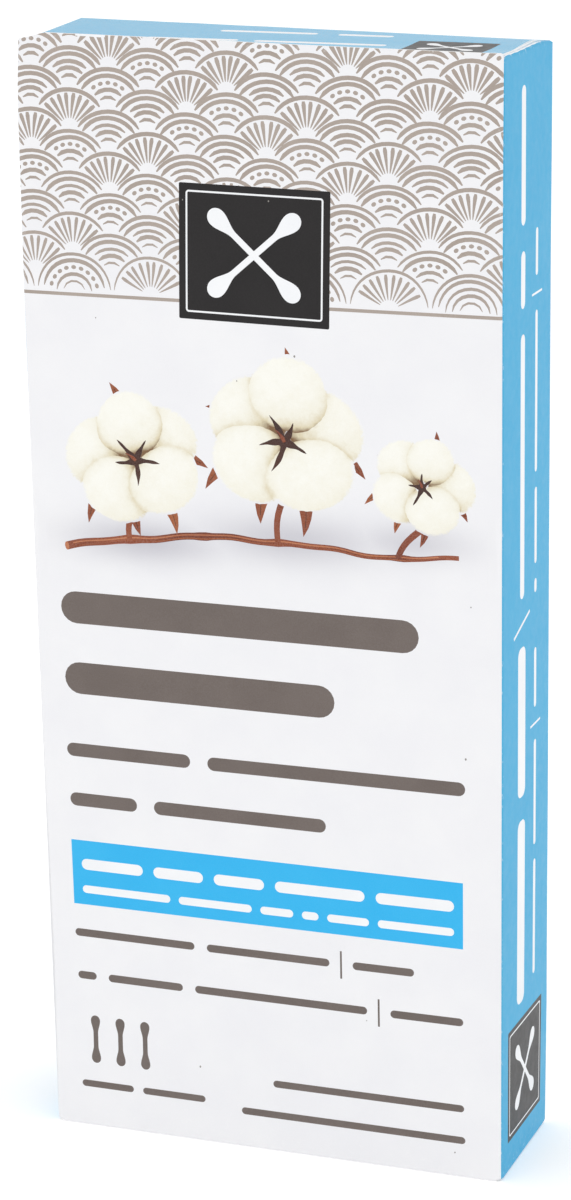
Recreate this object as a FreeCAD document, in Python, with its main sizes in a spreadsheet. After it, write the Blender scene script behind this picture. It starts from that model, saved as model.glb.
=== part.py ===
import FreeCAD, Part
import math
import os
import Sketcher

# Folded paperboard carton of cotton swabs, closed by a hinged tuck flap.
# Frame: millimetres, +Z up, X across the wide front panel, the front panel
# faces -Y. The origin is the centre of the bottom, on the surface that the
# carton stands on.

V = FreeCAD.Vector
doc = FreeCAD.newDocument("swab_carton")

# ---------------------------------------------------------------- dimensions
sheet = doc.addObject("Spreadsheet::Sheet", "dims")
sheet.Label = "dims"
DIMS = [
    ("carton_width", 78.8, "outside, across the front panel"),
    ("carton_depth", 25.5, "outside, across the side panel"),
    ("flap_top", 183.0, "bottom to the top face of the closed flap"),
    ("board", 0.4, "thickness of the paperboard"),
    ("corner_fold", 0.6, "outside radius of the four upright folds"),
    ("bottom_fold", 0.3, "outside radius of the folds under the carton"),
    ("side_top", 182.5, "folded top of the side and back panels"),
    ("front_top", 183.0, "cut top edge of the front panel at its ends"),
    ("front_peak", 184.0, "highest point of that edge"),
    ("edge_slant", 4.2, "slanted left end of that edge, across"),
    ("bottom_dust_length", 18.0, "inner dust flaps of the glued bottom"),
    ("dust_length", 20.0, "top dust flaps, inwards from the sides"),
    ("dust_root", 0.1, "from the outer side face to the root of a dust flap"),
    ("dust_front", -10.4, "front edge of the top dust flaps"),
    ("dust_back", 12.0, "back edge of the top dust flaps"),
    ("dust_corner", 4.0, "rounded free corners of the top dust flaps"),
    ("seam_width", 12.0, "glue tab inside the left side panel"),
    ("seam_top", 176.0, "upper end of the glue tab"),
    ("seam_bottom", 4.0, "lower end of the glue tab"),
    ("flap_width", 77.4, "tuck flap, across"),
    ("flap_front", -12.15, "outside of the tuck fold"),
    ("flap_back", 12.65, "crease end of the tuck flap"),
    ("tuck_fold", 1.2, "outside radius of the tuck fold"),
    ("tongue_length", 11.3, "straight part of the tongue"),
    ("tongue_lean", 17.0, "degrees, the tongue leans inwards"),
    ("tongue_corner", 6.0, "rounded corners of the tongue"),
    ("hinge_back", 12.75, "crease line of the flap"),
    ("hinge_height", 182.1, "crease line of the flap"),
    ("stick_dia", 2.4, "rolled paper stick"),
    ("stick_length", 73.0, "rolled paper stick"),
    ("swab_length", 76.0, "over both cotton buds"),
    ("bud_dia", 4.7, "cotton bud at its widest"),
    ("bud_length", 14.0, "cotton bud along the stick"),
    ("bud_root_dia", 2.7, "cotton bud where it ends on the stick"),
    ("row_pitch", 4.8, "between neighbours in a row"),
    ("layer_pitch", 4.07, "between nested rows"),
    ("layer_count", 40, "rows, in turn five and four swabs"),
    ("first_layer", 3.58, "height of the lowest row's axes"),
]
for i, (name, value, note) in enumerate(DIMS, start=1):
    sheet.set("A%d" % i, name)
    sheet.set("B%d" % i, repr(value))
    sheet.set("C%d" % i, note)
    sheet.setAlias("B%d" % i, name)
doc.recompute()
D = {name: float(sheet.get(name)) for name, _, _ in DIMS}


# ------------------------------------------------------------------- helpers
def origin_plane(body, role):
    for feature in body.Origin.OriginFeatures:
        if feature.Role == role:
            return feature
    raise RuntimeError("no plane " + role)


def new_body(name):
    body = doc.addObject("PartDesign::Body", name)
    body.Label = name
    return body


def new_sketch(body, name, role):
    sketch = body.newObject("Sketcher::SketchObject", name)
    sketch.AttachmentSupport = [(origin_plane(body, role), "")]
    sketch.MapMode = "FlatFace"
    return sketch


def line(sketch, a, b):
    return sketch.addGeometry(Part.LineSegment(V(a[0], a[1], 0), V(b[0], b[1], 0)), False)


def name_last(sketch, index, label, expression):
    sketch.renameConstraint(index, label)
    sketch.setExpression("Constraints." + label, expression)


def centred_rectangle(sketch, tag, half_w, half_d, expr_w, expr_d):
    """Rectangle about the sketch origin, its half sizes bound to the sheet."""
    p = [(-half_w, -half_d), (half_w, -half_d), (half_w, half_d), (-half_w, half_d)]
    g = [line(sketch, p[k], p[(k + 1) % 4]) for k in range(4)]
    C = Sketcher.Constraint
    for k in range(4):
        sketch.addConstraint(C("Coincident", g[k], 2, g[(k + 1) % 4], 1))
    for k in (0, 2):
        sketch.addConstraint(C("Horizontal", g[k]))
    for k in (1, 3):
        sketch.addConstraint(C("Vertical", g[k]))
    sketch.addConstraint(C("Symmetric", g[0], 1, g[1], 2, -1, 1))
    name_last(sketch, sketch.addConstraint(C("DistanceX", g[0], 1, g[0], 2, 2 * half_w)),
              tag + "_w", expr_w)
    name_last(sketch, sketch.addConstraint(C("DistanceY", g[1], 1, g[1], 2, 2 * half_d)),
              tag + "_d", expr_d)


def board_plate(body, name, size, place):
    """Flat piece of board as an additive box; size and place are expressions."""
    box = body.newObject("PartDesign::AdditiveBox", name)
    for prop, expression in zip(("Length", "Width", "Height"), size):
        box.setExpression(prop, expression)
    for axis, expression in zip("xyz", place):
        box.setExpression("Placement.Base." + axis, expression)
    doc.recompute()
    return box


def edges_where(feature, test):
    names = []
    for k, edge in enumerate(feature.Shape.Edges, start=1):
        ends = [v.Point for v in edge.Vertexes]
        if len(ends) == 2 and test(ends[0], ends[1]):
            names.append("Edge%d" % k)
    return names


def fillet(body, name, base, test, expression, count):
    names = edges_where(base, test)
    if len(names) != count:
        raise RuntimeError("%s: %d edges, not %d" % (name, len(names), count))
    feature = body.newObject("PartDesign::Fillet", name)
    feature.Base = (base, names)
    feature.setExpression("Radius", expression)
    doc.recompute()
    return feature


def near(a, b, tol=1e-4):
    return abs(a - b) < tol


# -------------------------------------------------------------------- carton
# One folded sheet: four walls, a glue tab inside, a glued bottom of two
# layers over its inner dust flaps, and the two top dust flaps, which stay
# folded in under the tuck flap.
W, DP, T = D["carton_width"], D["carton_depth"], D["board"]
carton = new_body("carton")

sk = new_sketch(carton, "wall_ring", "XY_Plane")
centred_rectangle(sk, "outer", W / 2, DP / 2, "dims.carton_width", "dims.carton_depth")
centred_rectangle(sk, "inner", W / 2 - T, DP / 2 - T,
                  "dims.carton_width - 2 * dims.board", "dims.carton_depth - 2 * dims.board")
walls = carton.newObject("PartDesign::Pad", "walls")
walls.Profile = sk
walls.setExpression("Length", "dims.side_top")
doc.recompute()


def upright(a, b):
    return near(a.x, b.x) and near(a.y, b.y) and not near(a.z, b.z)


outer_folds = fillet(carton, "upright_folds", walls,
                     lambda a, b: upright(a, b) and near(abs(a.x), W / 2),
                     "dims.corner_fold", 4)
inner_folds = fillet(carton, "upright_folds_inside", outer_folds,
                     lambda a, b: upright(a, b) and near(abs(a.x), W / 2 - T),
                     "dims.corner_fold - dims.board", 4)

board_plate(carton, "bottom_layers",
            ("dims.carton_width - 2 * dims.board", "dims.carton_depth - 2 * dims.board",
             "2 * dims.board"),
            ("-dims.carton_width / 2 + dims.board", "-dims.carton_depth / 2 + dims.board", "0"))
for side, x in (("left", "-dims.carton_width / 2 + dims.board"),
                ("right", "dims.carton_width / 2 - dims.board - dims.bottom_dust_length")):
    board_plate(carton, "bottom_dust_" + side,
                ("dims.bottom_dust_length", "dims.carton_depth - 2 * dims.board", "dims.board"),
                (x, "-dims.carton_depth / 2 + dims.board", "2 * dims.board"))
board_plate(carton, "glue_tab",
            ("dims.board", "dims.seam_width", "dims.seam_top - dims.seam_bottom"),
            ("-dims.carton_width / 2 + dims.board",
             "dims.carton_depth / 2 - dims.board - dims.seam_width", "dims.seam_bottom"))

# The front panel's cut edge stands a little above the folded ones, most of all
# at its left end, where the corner falls away in a short slant.
lip = new_sketch(carton, "front_edge", "XZ_Plane")
lip.AttachmentOffset = FreeCAD.Placement(V(0, 0, DP / 2 - T), FreeCAD.Rotation())
lip.setExpression("AttachmentOffset.Base.z", "dims.carton_depth / 2 - dims.board")
e = W / 2 - D["corner_fold"]
pts = [(-e, D["side_top"]), (e, D["side_top"]), (e, D["front_top"]),
       (-e + D["edge_slant"], D["front_peak"]), (-e, D["front_top"])]
g = [line(lip, pts[k], pts[(k + 1) % 5]) for k in range(5)]
for k in range(5):
    lip.addConstraint(Sketcher.Constraint("Coincident", g[k], 2, g[(k + 1) % 5], 1))
half = "dims.carton_width / 2 - dims.corner_fold"
exprs = [("-(%s)" % half, "dims.side_top"), (half, "dims.side_top"), (half, "dims.front_top"),
         ("-(%s) + dims.edge_slant" % half, "dims.front_peak"), ("-(%s)" % half, "dims.front_top")]
for k in range(5):
    for kind, value, expression in (("DistanceX", pts[k][0], exprs[k][0]),
                                    ("DistanceY", pts[k][1], exprs[k][1])):
        name_last(lip, lip.addConstraint(Sketcher.Constraint(kind, -1, 1, g[k], 1, value)),
                  "p%d_%s" % (k, kind[-1].lower()), expression)
edge = carton.newObject("PartDesign::Pad", "front_lip")
edge.Profile = lip
edge.setExpression("Length", "dims.board")
doc.recompute()
for side, x in (("left", "-dims.carton_width / 2 + dims.dust_root"),
                ("right", "dims.carton_width / 2 - dims.dust_root - dims.dust_length")):
    last = board_plate(carton, "dust_flap_" + side,
                       ("dims.dust_length", "dims.dust_back - dims.dust_front", "dims.board"),
                       (x, "dims.dust_front", "dims.side_top - dims.board"))

ZS = D["side_top"]
last = fillet(carton, "dust_flap_corners", last,
              lambda a, b: upright(a, b) and near(abs(a.z - b.z), T)
              and min(a.z, b.z) > ZS - T - 0.01
              and near(abs(a.x), W / 2 - D["dust_root"] - D["dust_length"]),
              "dims.dust_corner", 4)
last = fillet(carton, "side_top_folds", last,
              lambda a, b: near(a.z, ZS) and near(b.z, ZS) and near(abs(a.x), W / 2)
              and near(a.x, b.x) and abs(a.y - b.y) > DP / 2,
              "dims.bottom_fold", 2)
last = fillet(carton, "bottom_folds", last,
              lambda a, b: near(a.z, 0) and near(b.z, 0)
              and ((near(abs(a.x), W / 2) and near(a.x, b.x))
                   or (near(abs(a.y), DP / 2) and near(a.y, b.y))),
              "dims.bottom_fold", 4)
carton.Tip = last

# ------------------------------------------------------------------ tuck flap
# Top panel, hinged on the crease along the back panel's top edge, with its
# tongue behind the front panel. The tongue leans inwards, so that it clears
# the front panel over the whole swing.
flap = new_body("top_flap")
sk = new_sketch(flap, "flap_profile", "YZ_Plane")
lean = math.radians(D["tongue_lean"])
ro, ri = D["tuck_fold"], D["tuck_fold"] - T
top = D["flap_top"]
cy, cz = D["flap_front"] + ro, top - ro
n = (-math.cos(lean), -math.sin(lean))        # from the fold's centre, at its end
d = (math.sin(lean), -math.cos(lean))         # down the tongue
p0 = (D["flap_back"], top)
p1 = (cy, top)
p2 = (cy + ro * n[0], cz + ro * n[1])
p3 = (p2[0] + D["tongue_length"] * d[0], p2[1] + D["tongue_length"] * d[1])
p4 = (p3[0] - T * n[0], p3[1] - T * n[1])
p5 = (cy + ri * n[0], cz + ri * n[1])
p6 = (cy, cz + ri)
p7 = (D["flap_back"], top - T)


def arc(radius, start, end):
    circle = Part.Circle(V(cy, cz, 0), V(0, 0, 1), radius)
    return sk.addGeometry(Part.ArcOfCircle(circle, start, end), False)


l_top = line(sk, p0, p1)
a_out = arc(ro, math.pi / 2, math.pi + lean)
l_out = line(sk, p2, p3)
l_tip = line(sk, p3, p4)
l_in = line(sk, p4, p5)
a_in = arc(ri, math.pi / 2, math.pi + lean)
l_under = line(sk, p6, p7)
l_back = line(sk, p7, p0)
C = Sketcher.Constraint
for c in (C("Tangent", l_top, 2, a_out, 1), C("Tangent", a_out, 2, l_out, 1),
          C("Coincident", l_out, 2, l_tip, 1), C("Coincident", l_tip, 2, l_in, 1),
          C("Tangent", l_in, 2, a_in, 2), C("Tangent", a_in, 1, l_under, 1),
          C("Coincident", l_under, 2, l_back, 1), C("Coincident", l_back, 2, l_top, 1),
          C("Coincident", a_out, 3, a_in, 3), C("Horizontal", l_top),
          C("Vertical", l_back), C("Perpendicular", l_out, l_tip)):
    sk.addConstraint(c)
name_last(sk, sk.addConstraint(C("Radius", a_out, ro)), "fold_radius", "dims.tuck_fold")
name_last(sk, sk.addConstraint(C("DistanceY", l_back, 1, l_back, 2, T)), "thickness", "dims.board")
name_last(sk, sk.addConstraint(C("DistanceX", -1, 1, l_top, 1, p0[0])), "back_end", "dims.flap_back")
name_last(sk, sk.addConstraint(C("DistanceY", -1, 1, l_top, 1, p0[1])), "top_face",
          "dims.flap_top")
name_last(sk, sk.addConstraint(C("DistanceX", a_out, 3, l_top, 1, p0[0] - cy)), "panel_length",
          "dims.flap_back - dims.flap_front - dims.tuck_fold")
name_last(sk, sk.addConstraint(C("Distance", l_out, 1, l_out, 2, D["tongue_length"])),
          "tongue", "dims.tongue_length")
name_last(sk, sk.addConstraint(C("Angle", l_top, 2, l_out, 1, lean - math.pi / 2)),
          "lean", "(dims.tongue_lean - 90) * 1 deg")
pad = flap.newObject("PartDesign::Pad", "flap_board")
pad.Profile = sk
pad.Midplane = True
pad.setExpression("Length", "dims.flap_width")
doc.recompute()
FW = D["flap_width"] / 2
tip = fillet(flap, "tongue_corners", pad,
             lambda a, b: near(abs(a.x), FW) and near(a.x, b.x)
             and max(a.z, b.z) < top - D["tongue_length"] * 0.8
             and near((a - b).Length, T, 1e-3),
             "dims.tongue_corner", 2)
flap.Tip = tip

# --------------------------------------------------------------- swab masters
stick = doc.addObject("Part::Cylinder", "stick_master")
stick.setExpression("Radius", "dims.stick_dia / 2")
stick.setExpression("Height", "dims.stick_length")
stick.Placement = FreeCAD.Placement(V(-D["stick_length"] / 2, 0, 0),
                                    FreeCAD.Rotation(V(0, 1, 0), 90))
stick.setExpression("Placement.Base.x", "-dims.stick_length / 2")

# The bud is turned about the stick: round nose, then a long taper back to the
# stick, with a blind hole that the end of the stick fills.
bud = new_body("bud_master")
sk = new_sketch(bud, "bud_profile", "XY_Plane")
xe, rb, rr, rs = D["swab_length"] / 2, D["bud_dia"] / 2, D["bud_root_dia"] / 2, D["stick_dia"] / 2
xs, xr = D["stick_length"] / 2, D["swab_length"] / 2 - D["bud_length"]
xc = xe - rb
run, drop = xc - xr, rb - rr
big = (run * run + drop * drop) / (2 * drop)
nose = sk.addGeometry(Part.ArcOfCircle(Part.Circle(V(xc, 0, 0), V(0, 0, 1), rb), 0, math.pi / 2), False)
a1 = math.pi / 2
a2 = math.atan2(rr - (rb - big), xr - xc)
taper = sk.addGeometry(Part.ArcOfCircle(Part.Circle(V(xc, rb - big, 0), V(0, 0, 1), big), a1, a2), False)
g_end = line(sk, (xr, rr), (xr, rs))
g_bore = line(sk, (xr, rs), (xs, rs))
g_stop = line(sk, (xs, rs), (xs, 0))
g_axis = line(sk, (xs, 0), (xe, 0))
for c in (C("Tangent", nose, 2, taper, 1), C("Coincident", taper, 2, g_end, 1),
          C("Coincident", g_end, 2, g_bore, 1), C("Coincident", g_bore, 2, g_stop, 1),
          C("Coincident", g_stop, 2, g_axis, 1), C("Coincident", g_axis, 2, nose, 1),
          C("PointOnObject", nose, 3, -1), C("PointOnObject", g_axis, 1, -1),
          C("PointOnObject", g_axis, 2, -1), C("Vertical", g_end), C("Vertical", g_stop),
          C("Horizontal", g_bore)):
    sk.addConstraint(c)
name_last(sk, sk.addConstraint(C("Radius", nose, rb)), "nose_radius", "dims.bud_dia / 2")
name_last(sk, sk.addConstraint(C("DistanceX", -1, 1, g_axis, 2, xe)), "bud_tip", "dims.swab_length / 2")
name_last(sk, sk.addConstraint(C("DistanceX", -1, 1, g_stop, 1, xs)), "stick_end", "dims.stick_length / 2")
name_last(sk, sk.addConstraint(C("DistanceY", -1, 1, g_bore, 2, rs)), "stick_radius", "dims.stick_dia / 2")
name_last(sk, sk.addConstraint(C("DistanceX", -1, 1, g_end, 1, xr)), "bud_root",
          "dims.swab_length / 2 - dims.bud_length")
name_last(sk, sk.addConstraint(C("DistanceY", -1, 1, g_end, 1, rr)), "root_radius",
          "dims.bud_root_dia / 2")
turned = bud.newObject("PartDesign::Revolution", "bud_turned")
turned.Profile = sk
turned.ReferenceAxis = (sk, ["H_Axis"])
turned.Angle = 360
doc.recompute()

# ------------------------------------------------------------- nested swabs
# The swabs lie across the carton in rows of five and four in turn, each row
# resting in the grooves of the row below.
places = []
for layer in range(int(D["layer_count"])):
    count = 5 if layer % 2 == 0 else 4
    z = D["first_layer"] + layer * D["layer_pitch"]
    for k in range(count):
        places.append(V(0, (k - (count - 1) / 2) * D["row_pitch"], z))

sticks = doc.addObject("Part::Feature", "swab_sticks")
sticks.Label = "swab_sticks"
solids = []
for p in places:
    solid = stick.Shape.Solids[0].copy()
    solid.translate(p)
    solids.append(solid)
sticks.Shape = Part.makeCompound(solids)
sticks.Placement = FreeCAD.Placement()

buds = doc.addObject("Part::Feature", "cotton_buds")
buds.Label = "cotton_buds"
right = bud.Shape.Solids[0]
left = right.copy()
left.rotate(V(0, 0, 0), V(0, 0, 1), 180)
solids = []
for p in places:
    for one in (left, right):
        solid = one.copy()
        solid.translate(p)
        solids.append(solid)
buds.Shape = Part.makeCompound(solids)
buds.Placement = FreeCAD.Placement()
doc.recompute()

# --------------------------------------------------------------------- output
for item in doc.Objects:
    if "Invalid" in item.State or "Error" in item.State:
        raise RuntimeError("%s: %s" % (item.Name, item.State))
EXPECTED = {"carton": 1, "top_flap": 1, "swab_sticks": 180, "cotton_buds": 360}
os.makedirs("parts", exist_ok=True)
for item in (carton, flap, sticks, buds):
    shape = item.Shape
    if shape.isNull() or not shape.isValid():
        raise RuntimeError(item.Label + " isn't a valid shape")
    if len(shape.Solids) != EXPECTED[item.Label]:
        raise RuntimeError("%s has %d solids" % (item.Label, len(shape.Solids)))
for item in (carton, flap, sticks, buds):
    shape = item.Shape
    shape.exportStep("parts/%s.step" % item.Label)
    box = shape.BoundBox
    print("%-12s solids %3d  volume %9.1f mm3  x %.2f..%.2f  y %.2f..%.2f  z %.2f..%.2f" % (
        item.Label, len(shape.Solids), shape.Volume, box.XMin, box.XMax,
        box.YMin, box.YMax, box.ZMin, box.ZMax))
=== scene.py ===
import math

import bpy
import numpy as np
from mathutils import Matrix, Vector
from mathutils.geometry import delaunay_2d_cdt


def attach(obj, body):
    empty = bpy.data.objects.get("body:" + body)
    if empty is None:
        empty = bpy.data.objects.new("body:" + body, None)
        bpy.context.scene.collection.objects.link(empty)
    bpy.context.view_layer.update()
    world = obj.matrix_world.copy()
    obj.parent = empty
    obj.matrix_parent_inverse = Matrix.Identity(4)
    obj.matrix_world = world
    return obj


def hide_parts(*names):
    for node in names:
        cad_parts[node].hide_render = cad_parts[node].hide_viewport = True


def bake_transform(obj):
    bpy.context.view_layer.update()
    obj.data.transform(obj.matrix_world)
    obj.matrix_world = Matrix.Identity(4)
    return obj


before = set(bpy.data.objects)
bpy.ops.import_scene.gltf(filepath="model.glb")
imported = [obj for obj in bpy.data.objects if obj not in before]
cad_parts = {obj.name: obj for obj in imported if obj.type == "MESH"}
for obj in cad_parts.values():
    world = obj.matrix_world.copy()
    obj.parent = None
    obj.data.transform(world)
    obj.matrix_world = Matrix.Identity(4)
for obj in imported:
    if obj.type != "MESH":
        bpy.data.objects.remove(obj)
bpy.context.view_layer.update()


MM = 0.001
rng = np.random.default_rng(7)

# --------------------------------------------------------------------------
# camera, at the photograph's viewing angle (571 x 1200)
# --------------------------------------------------------------------------
cam_data = bpy.data.cameras.new("view_cam")
cam_data.sensor_width = 36.0
cam_data.lens = 107.76
cam_data.clip_start = 0.01
cam_data.clip_end = 50.0
cam = bpy.data.objects.new("view_cam", cam_data)
bpy.context.scene.collection.objects.link(cam)
right = Vector((0.93851, 0.34486, -0.01623))
up = Vector((-0.08157, 0.26716, 0.96019))
back = Vector((0.33547, -0.89983, 0.27886))
rot = Matrix((right, up, back)).transposed().to_4x4()
cam.matrix_world = Matrix.Translation((0.1943, -0.524859, 0.254292)) @ rot
bpy.context.scene.camera = cam

# --------------------------------------------------------------------------
# sizes, in millimetres, in the same frame as the frame's parts
# --------------------------------------------------------------------------
HX, HY = 39.4, 12.75      # half width and half depth of the carton
R = 0.6                   # outer radius of the upright folds
T = 0.4                   # board
A = R * math.pi / 2
S_FR0, S_FR1 = 38.8, 38.8 + A                 # front right upright fold
S_BR0 = S_FR1 + 2 * (HY - R)                  # right panel ends
S_BR1 = S_BR0 + A
S_BL0 = S_BR1 + 38.8 + 38.4                   # back panel ends
S_BL1 = S_BL0 + A
S_TAB = S_BL1 + 11.8                          # glue tab's free edge
S_FREE = -S_FR1 - 24.45                       # left panel's free edge

CREASE_L, CREASE_R = 182.50, 181.84           # height of the lid's crease at its ends
RC = 0.35                                     # its radius
WALL = 0.9                                    # how far the lid's sheet runs down the back


def crease_z(x):
    return CREASE_L + (CREASE_R - CREASE_L) * (np.asarray(x) + 38.75) / 77.5


def right_top(y):
    """Height of the right side panel's top fold."""
    return np.interp(y, [-HY, -9.0, -5.0, 4.5, 8.0, HY], [182.66, 182.46, 182.38, 182.46, 182.32, 181.80])


def left_top(y):
    return 182.72 + (182.95 - 182.72) * (np.asarray(y) + HY) / (2 * HY)


def s_right(y):
    return S_FR1 + (y + HY - R)


def s_left(y):
    return -S_FR1 - (y + HY - R)


def s_back(x):
    return S_BR1 + (38.8 - x)


def warp(P):
    """The carton is a little narrower at its foot and its left side bows out."""
    z = P[:, 2]
    left = np.interp(z, [0, 9, 28, 45, 61, 78, 94, 110, 126, 140, 150, 160, 170, 176, 181, 184],
                     [-0.05, 0.0, 0.13, -0.04, -0.27, -0.40, -0.53, -0.62, -0.76, -0.86, -0.84, -0.80, -0.78, -0.66, -0.36, -0.20])
    rite = np.interp(z, [0, 16, 29, 61, 94, 110, 126, 143, 159, 172, 180, 184],
                     [-0.32, -0.31, -0.33, -0.26, -0.245, -0.245, -0.23, -0.19, -0.11, -0.05, 0.02, 0.04])
    k = np.clip((P[:, 0] + HX) / (2 * HX), 0, 1)
    Q = P.copy()
    Q[:, 0] += left * (1 - k) + rite * k
    return Q


def roll(points):
    """A flap's profile: (length, angle in degrees) pairs, angle linear between them.
    Gives arrays of length, inward run and rise."""
    ls, an = zip(*points)
    L = np.linspace(0, ls[-1], 1200)
    th = np.radians(np.interp(L, ls, an))
    st = L[1] - L[0]
    run = np.concatenate([[0], np.cumsum((np.sin(th[1:]) + np.sin(th[:-1])) / 2 * st)])
    rise = np.concatenate([[0], np.cumsum((np.cos(th[1:]) + np.cos(th[:-1])) / 2 * st)])
    return L, run, rise


R_TOP = 0.55
ROLL_TOP = roll([(0, 0), (R_TOP * math.radians(112), 112), (2.3, 112), (2.9, 92), (24, 92)])
R_BOT = 0.35
ROLL_SIDE = roll([(0, 0), (R_BOT * math.radians(110), 110), (1.9, 110), (2.3, 90.3), (30, 90.3)])
ROLL_FLAT = roll([(0, 0), (R_BOT * math.pi / 2, 90), (30, 90)])


def fold_carton(sv):
    """The carton's flat blank folded up: s runs round the outside from the middle of the front,
    v is height on the walls and runs on over the flaps."""
    s, v = sv[:, 0], sv[:, 1]
    n = len(s)
    x, y, nx, ny = np.zeros(n), np.zeros(n), np.zeros(n), np.zeros(n)
    b = np.zeros(n)                       # bulge of the wall

    def put(m, X, Y, NX, NY, B=0.0):
        x[m], y[m], nx[m], ny[m] = X, Y, NX, NY
        b[m] = B

    def arc(m, cx, cy, a):
        put(m, cx + R * np.cos(a), cy + R * np.sin(a), np.cos(a), np.sin(a))

    tall = np.clip(v / 182.0, 0, 1)
    h = (1 - (2 * tall - 1) ** 4)
    m = (s >= -S_FR0) & (s <= S_FR0)
    q = s[m] / S_FR0
    put(m, s[m], -HY, 0, -1, 0.32 * (1 - q ** 2) * h[m])
    m = (s > S_FR0) & (s < S_FR1)
    arc(m, 38.8, -HY + R, -math.pi / 2 + (s[m] - S_FR0) / R)
    m = (s >= S_FR1) & (s <= S_BR0)
    yy = -HY + R + (s[m] - S_FR1)
    put(m, HX, yy, 1, 0, 0.12 * (1 - (yy / 12.2) ** 2) * h[m])
    m = (s > S_BR0) & (s < S_BR1)
    arc(m, 38.8, HY - R, (s[m] - S_BR0) / R)
    m = (s >= S_BR1) & (s <= S_BL0)
    xx = 38.8 - (s[m] - S_BR1)
    put(m, xx, HY, 0, 1, 0.3 * (1 - (xx / 39.0) ** 2) * h[m])
    m = (s > S_BL0) & (s < S_BL1)
    arc(m, -38.4, HY - R, math.pi / 2 + (s[m] - S_BL0) / R)
    m = s >= S_BL1
    put(m, -39.0, HY - R - (s[m] - S_BL1), -1, 0)
    m = (s < -S_FR0) & (s > -S_FR1)
    arc(m, -38.8, -HY + R, -math.pi / 2 - (-S_FR0 - s[m]) / R)
    m = s <= -S_FR1
    yy = -HY + R + (-S_FR1 - s[m])
    put(m, -HX, yy, -1, 0, 0.12 * (1 - (yy / 12.3) ** 2) * h[m])

    d, z = np.zeros(n), v.copy()

    def flap(m, start, prof, sign):
        L = (v - start) * sign
        k = m & (L > 0)
        Lk = L[k]
        d[k] = -np.interp(Lk, prof[0], prof[1])
        st = start if np.isscalar(start) else start[k]
        z[k] = st + sign * np.interp(Lk, prof[0], prof[2])

    rt = (s >= S_FR1) & (s <= S_BR0)
    lf = s <= -S_FR1
    fr = (s >= -S_FR0) & (s <= S_FR0)
    bk = (s >= S_BR1) & (s <= S_BL0)
    flap(rt, right_top(y) - R_TOP, ROLL_TOP, 1)
    flap(lf, left_top(y) - R_TOP, ROLL_TOP, 1)
    flap(rt | lf, 0.12 + R_BOT, ROLL_SIDE, -1)
    flap(fr, 0.0 + R_BOT, ROLL_FLAT, -1)
    flap(bk, 0.42 + R_BOT, ROLL_FLAT, -1)
    d += b
    P = warp(np.stack([x + nx * d, y + ny * d, z], 1))
    # the right side panel isn't quite square to the front
    P[:, 0] += 0.34 * np.interp(P[:, 2], [0, 22, 170, 184], [0.35, 1.0, 1.0, 0.75]) * np.clip(P[:, 0] / HX, 0, 1) * np.clip((P[:, 1] + HY) / (2 * HY), 0, 1)
    return P


W_PLATE = RC * math.pi / 2
W_TUCK = W_PLATE + (HY - RC) + 10.95
R_TUCK = 1.2
TUCK = math.radians(107)
W_TONGUE = W_TUCK + R_TUCK * TUCK
W_TIP = W_TONGUE + 11.0


def lid_height(x, y):
    """The lid's upper face: nearly level in front, and a ridge behind which it drops to its crease."""
    k = (x + 38.7) / 77.4

    def level(yy):
        return (182.66 + 0.0300 * (yy + 11.4)) * (1 - k) + (182.74 - 0.10 * k * np.exp(-((yy + 5.8) / 3.6) ** 2)) * k + 0.1 * np.sin(math.pi * np.clip(k, 0, 1))

    front = level(y)
    y_r = 11.2 + (5.7 - 11.2) * k
    z_r = level(y_r)
    slope = (crease_z(x) - z_r) / ((HY - RC) - y_r)
    rear = z_r + slope * (y - y_r)
    kk = 0.05
    return -kk * np.logaddexp(-front / kk, -rear / kk)


def fold_lid(sv):
    """The lid folded: s is x, v runs from the back wall (above 0) forward over the top (below 0)."""
    x, w = sv[:, 0], -sv[:, 1]
    n = len(x)
    y, z = np.zeros(n), np.zeros(n)
    zc = crease_z(x)
    m = w <= 0
    y[m], z[m] = HY, (zc - RC + w)[m]
    m = (w > 0) & (w < W_PLATE)
    a = w[m] / RC
    y[m], z[m] = HY - RC + RC * np.cos(a), zc[m] - RC + RC * np.sin(a)
    m = (w >= W_PLATE) & (w <= W_TUCK)
    y[m] = HY - RC - (w[m] - W_PLATE)
    z[m] = lid_height(x[m], y[m])
    # the plate meets the crease's arc
    near = m & (w < W_PLATE + 1.2)
    t = (w[near] - W_PLATE) / 1.2
    z[near] = z[near] * t + (1 - t) * (zc[near] + (z[near] - lid_height(x[near], np.full(near.sum(), HY - RC))))
    zt = lid_height(x, np.full(n, -10.95)) - R_TUCK
    m = (w > W_TUCK) & (w < W_TONGUE)
    a = (w[m] - W_TUCK) / R_TUCK
    y[m], z[m] = -10.95 - R_TUCK * np.sin(a), zt[m] + R_TUCK * np.cos(a)
    m = w >= W_TONGUE
    L = w[m] - W_TONGUE
    y[m] = -10.95 - R_TUCK * math.sin(TUCK) - L * math.cos(TUCK)
    z[m] = zt[m] + R_TUCK * math.cos(TUCK) - L * math.sin(TUCK)
    return warp(np.stack([x, y, z], 1))


# --------------------------------------------------------------------------
# print shapes on the flat blank
# --------------------------------------------------------------------------
def rrect(x0, z0, x1, z1, r=0.0, n=5):
    if r <= 0:
        return [(x0, z0), (x1, z0), (x1, z1), (x0, z1)]
    r = min(r, (x1 - x0) / 2 - 1e-3, (z1 - z0) / 2 - 1e-3)
    out = []
    for cx, cz, a0 in ((x1 - r, z0 + r, -90), (x1 - r, z1 - r, 0), (x0 + r, z1 - r, 90), (x0 + r, z0 + r, 180)):
        for i in range(n + 1):
            a = math.radians(a0 + 90 * i / n)
            out.append((cx + r * math.cos(a), cz + r * math.sin(a)))
    return out


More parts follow.
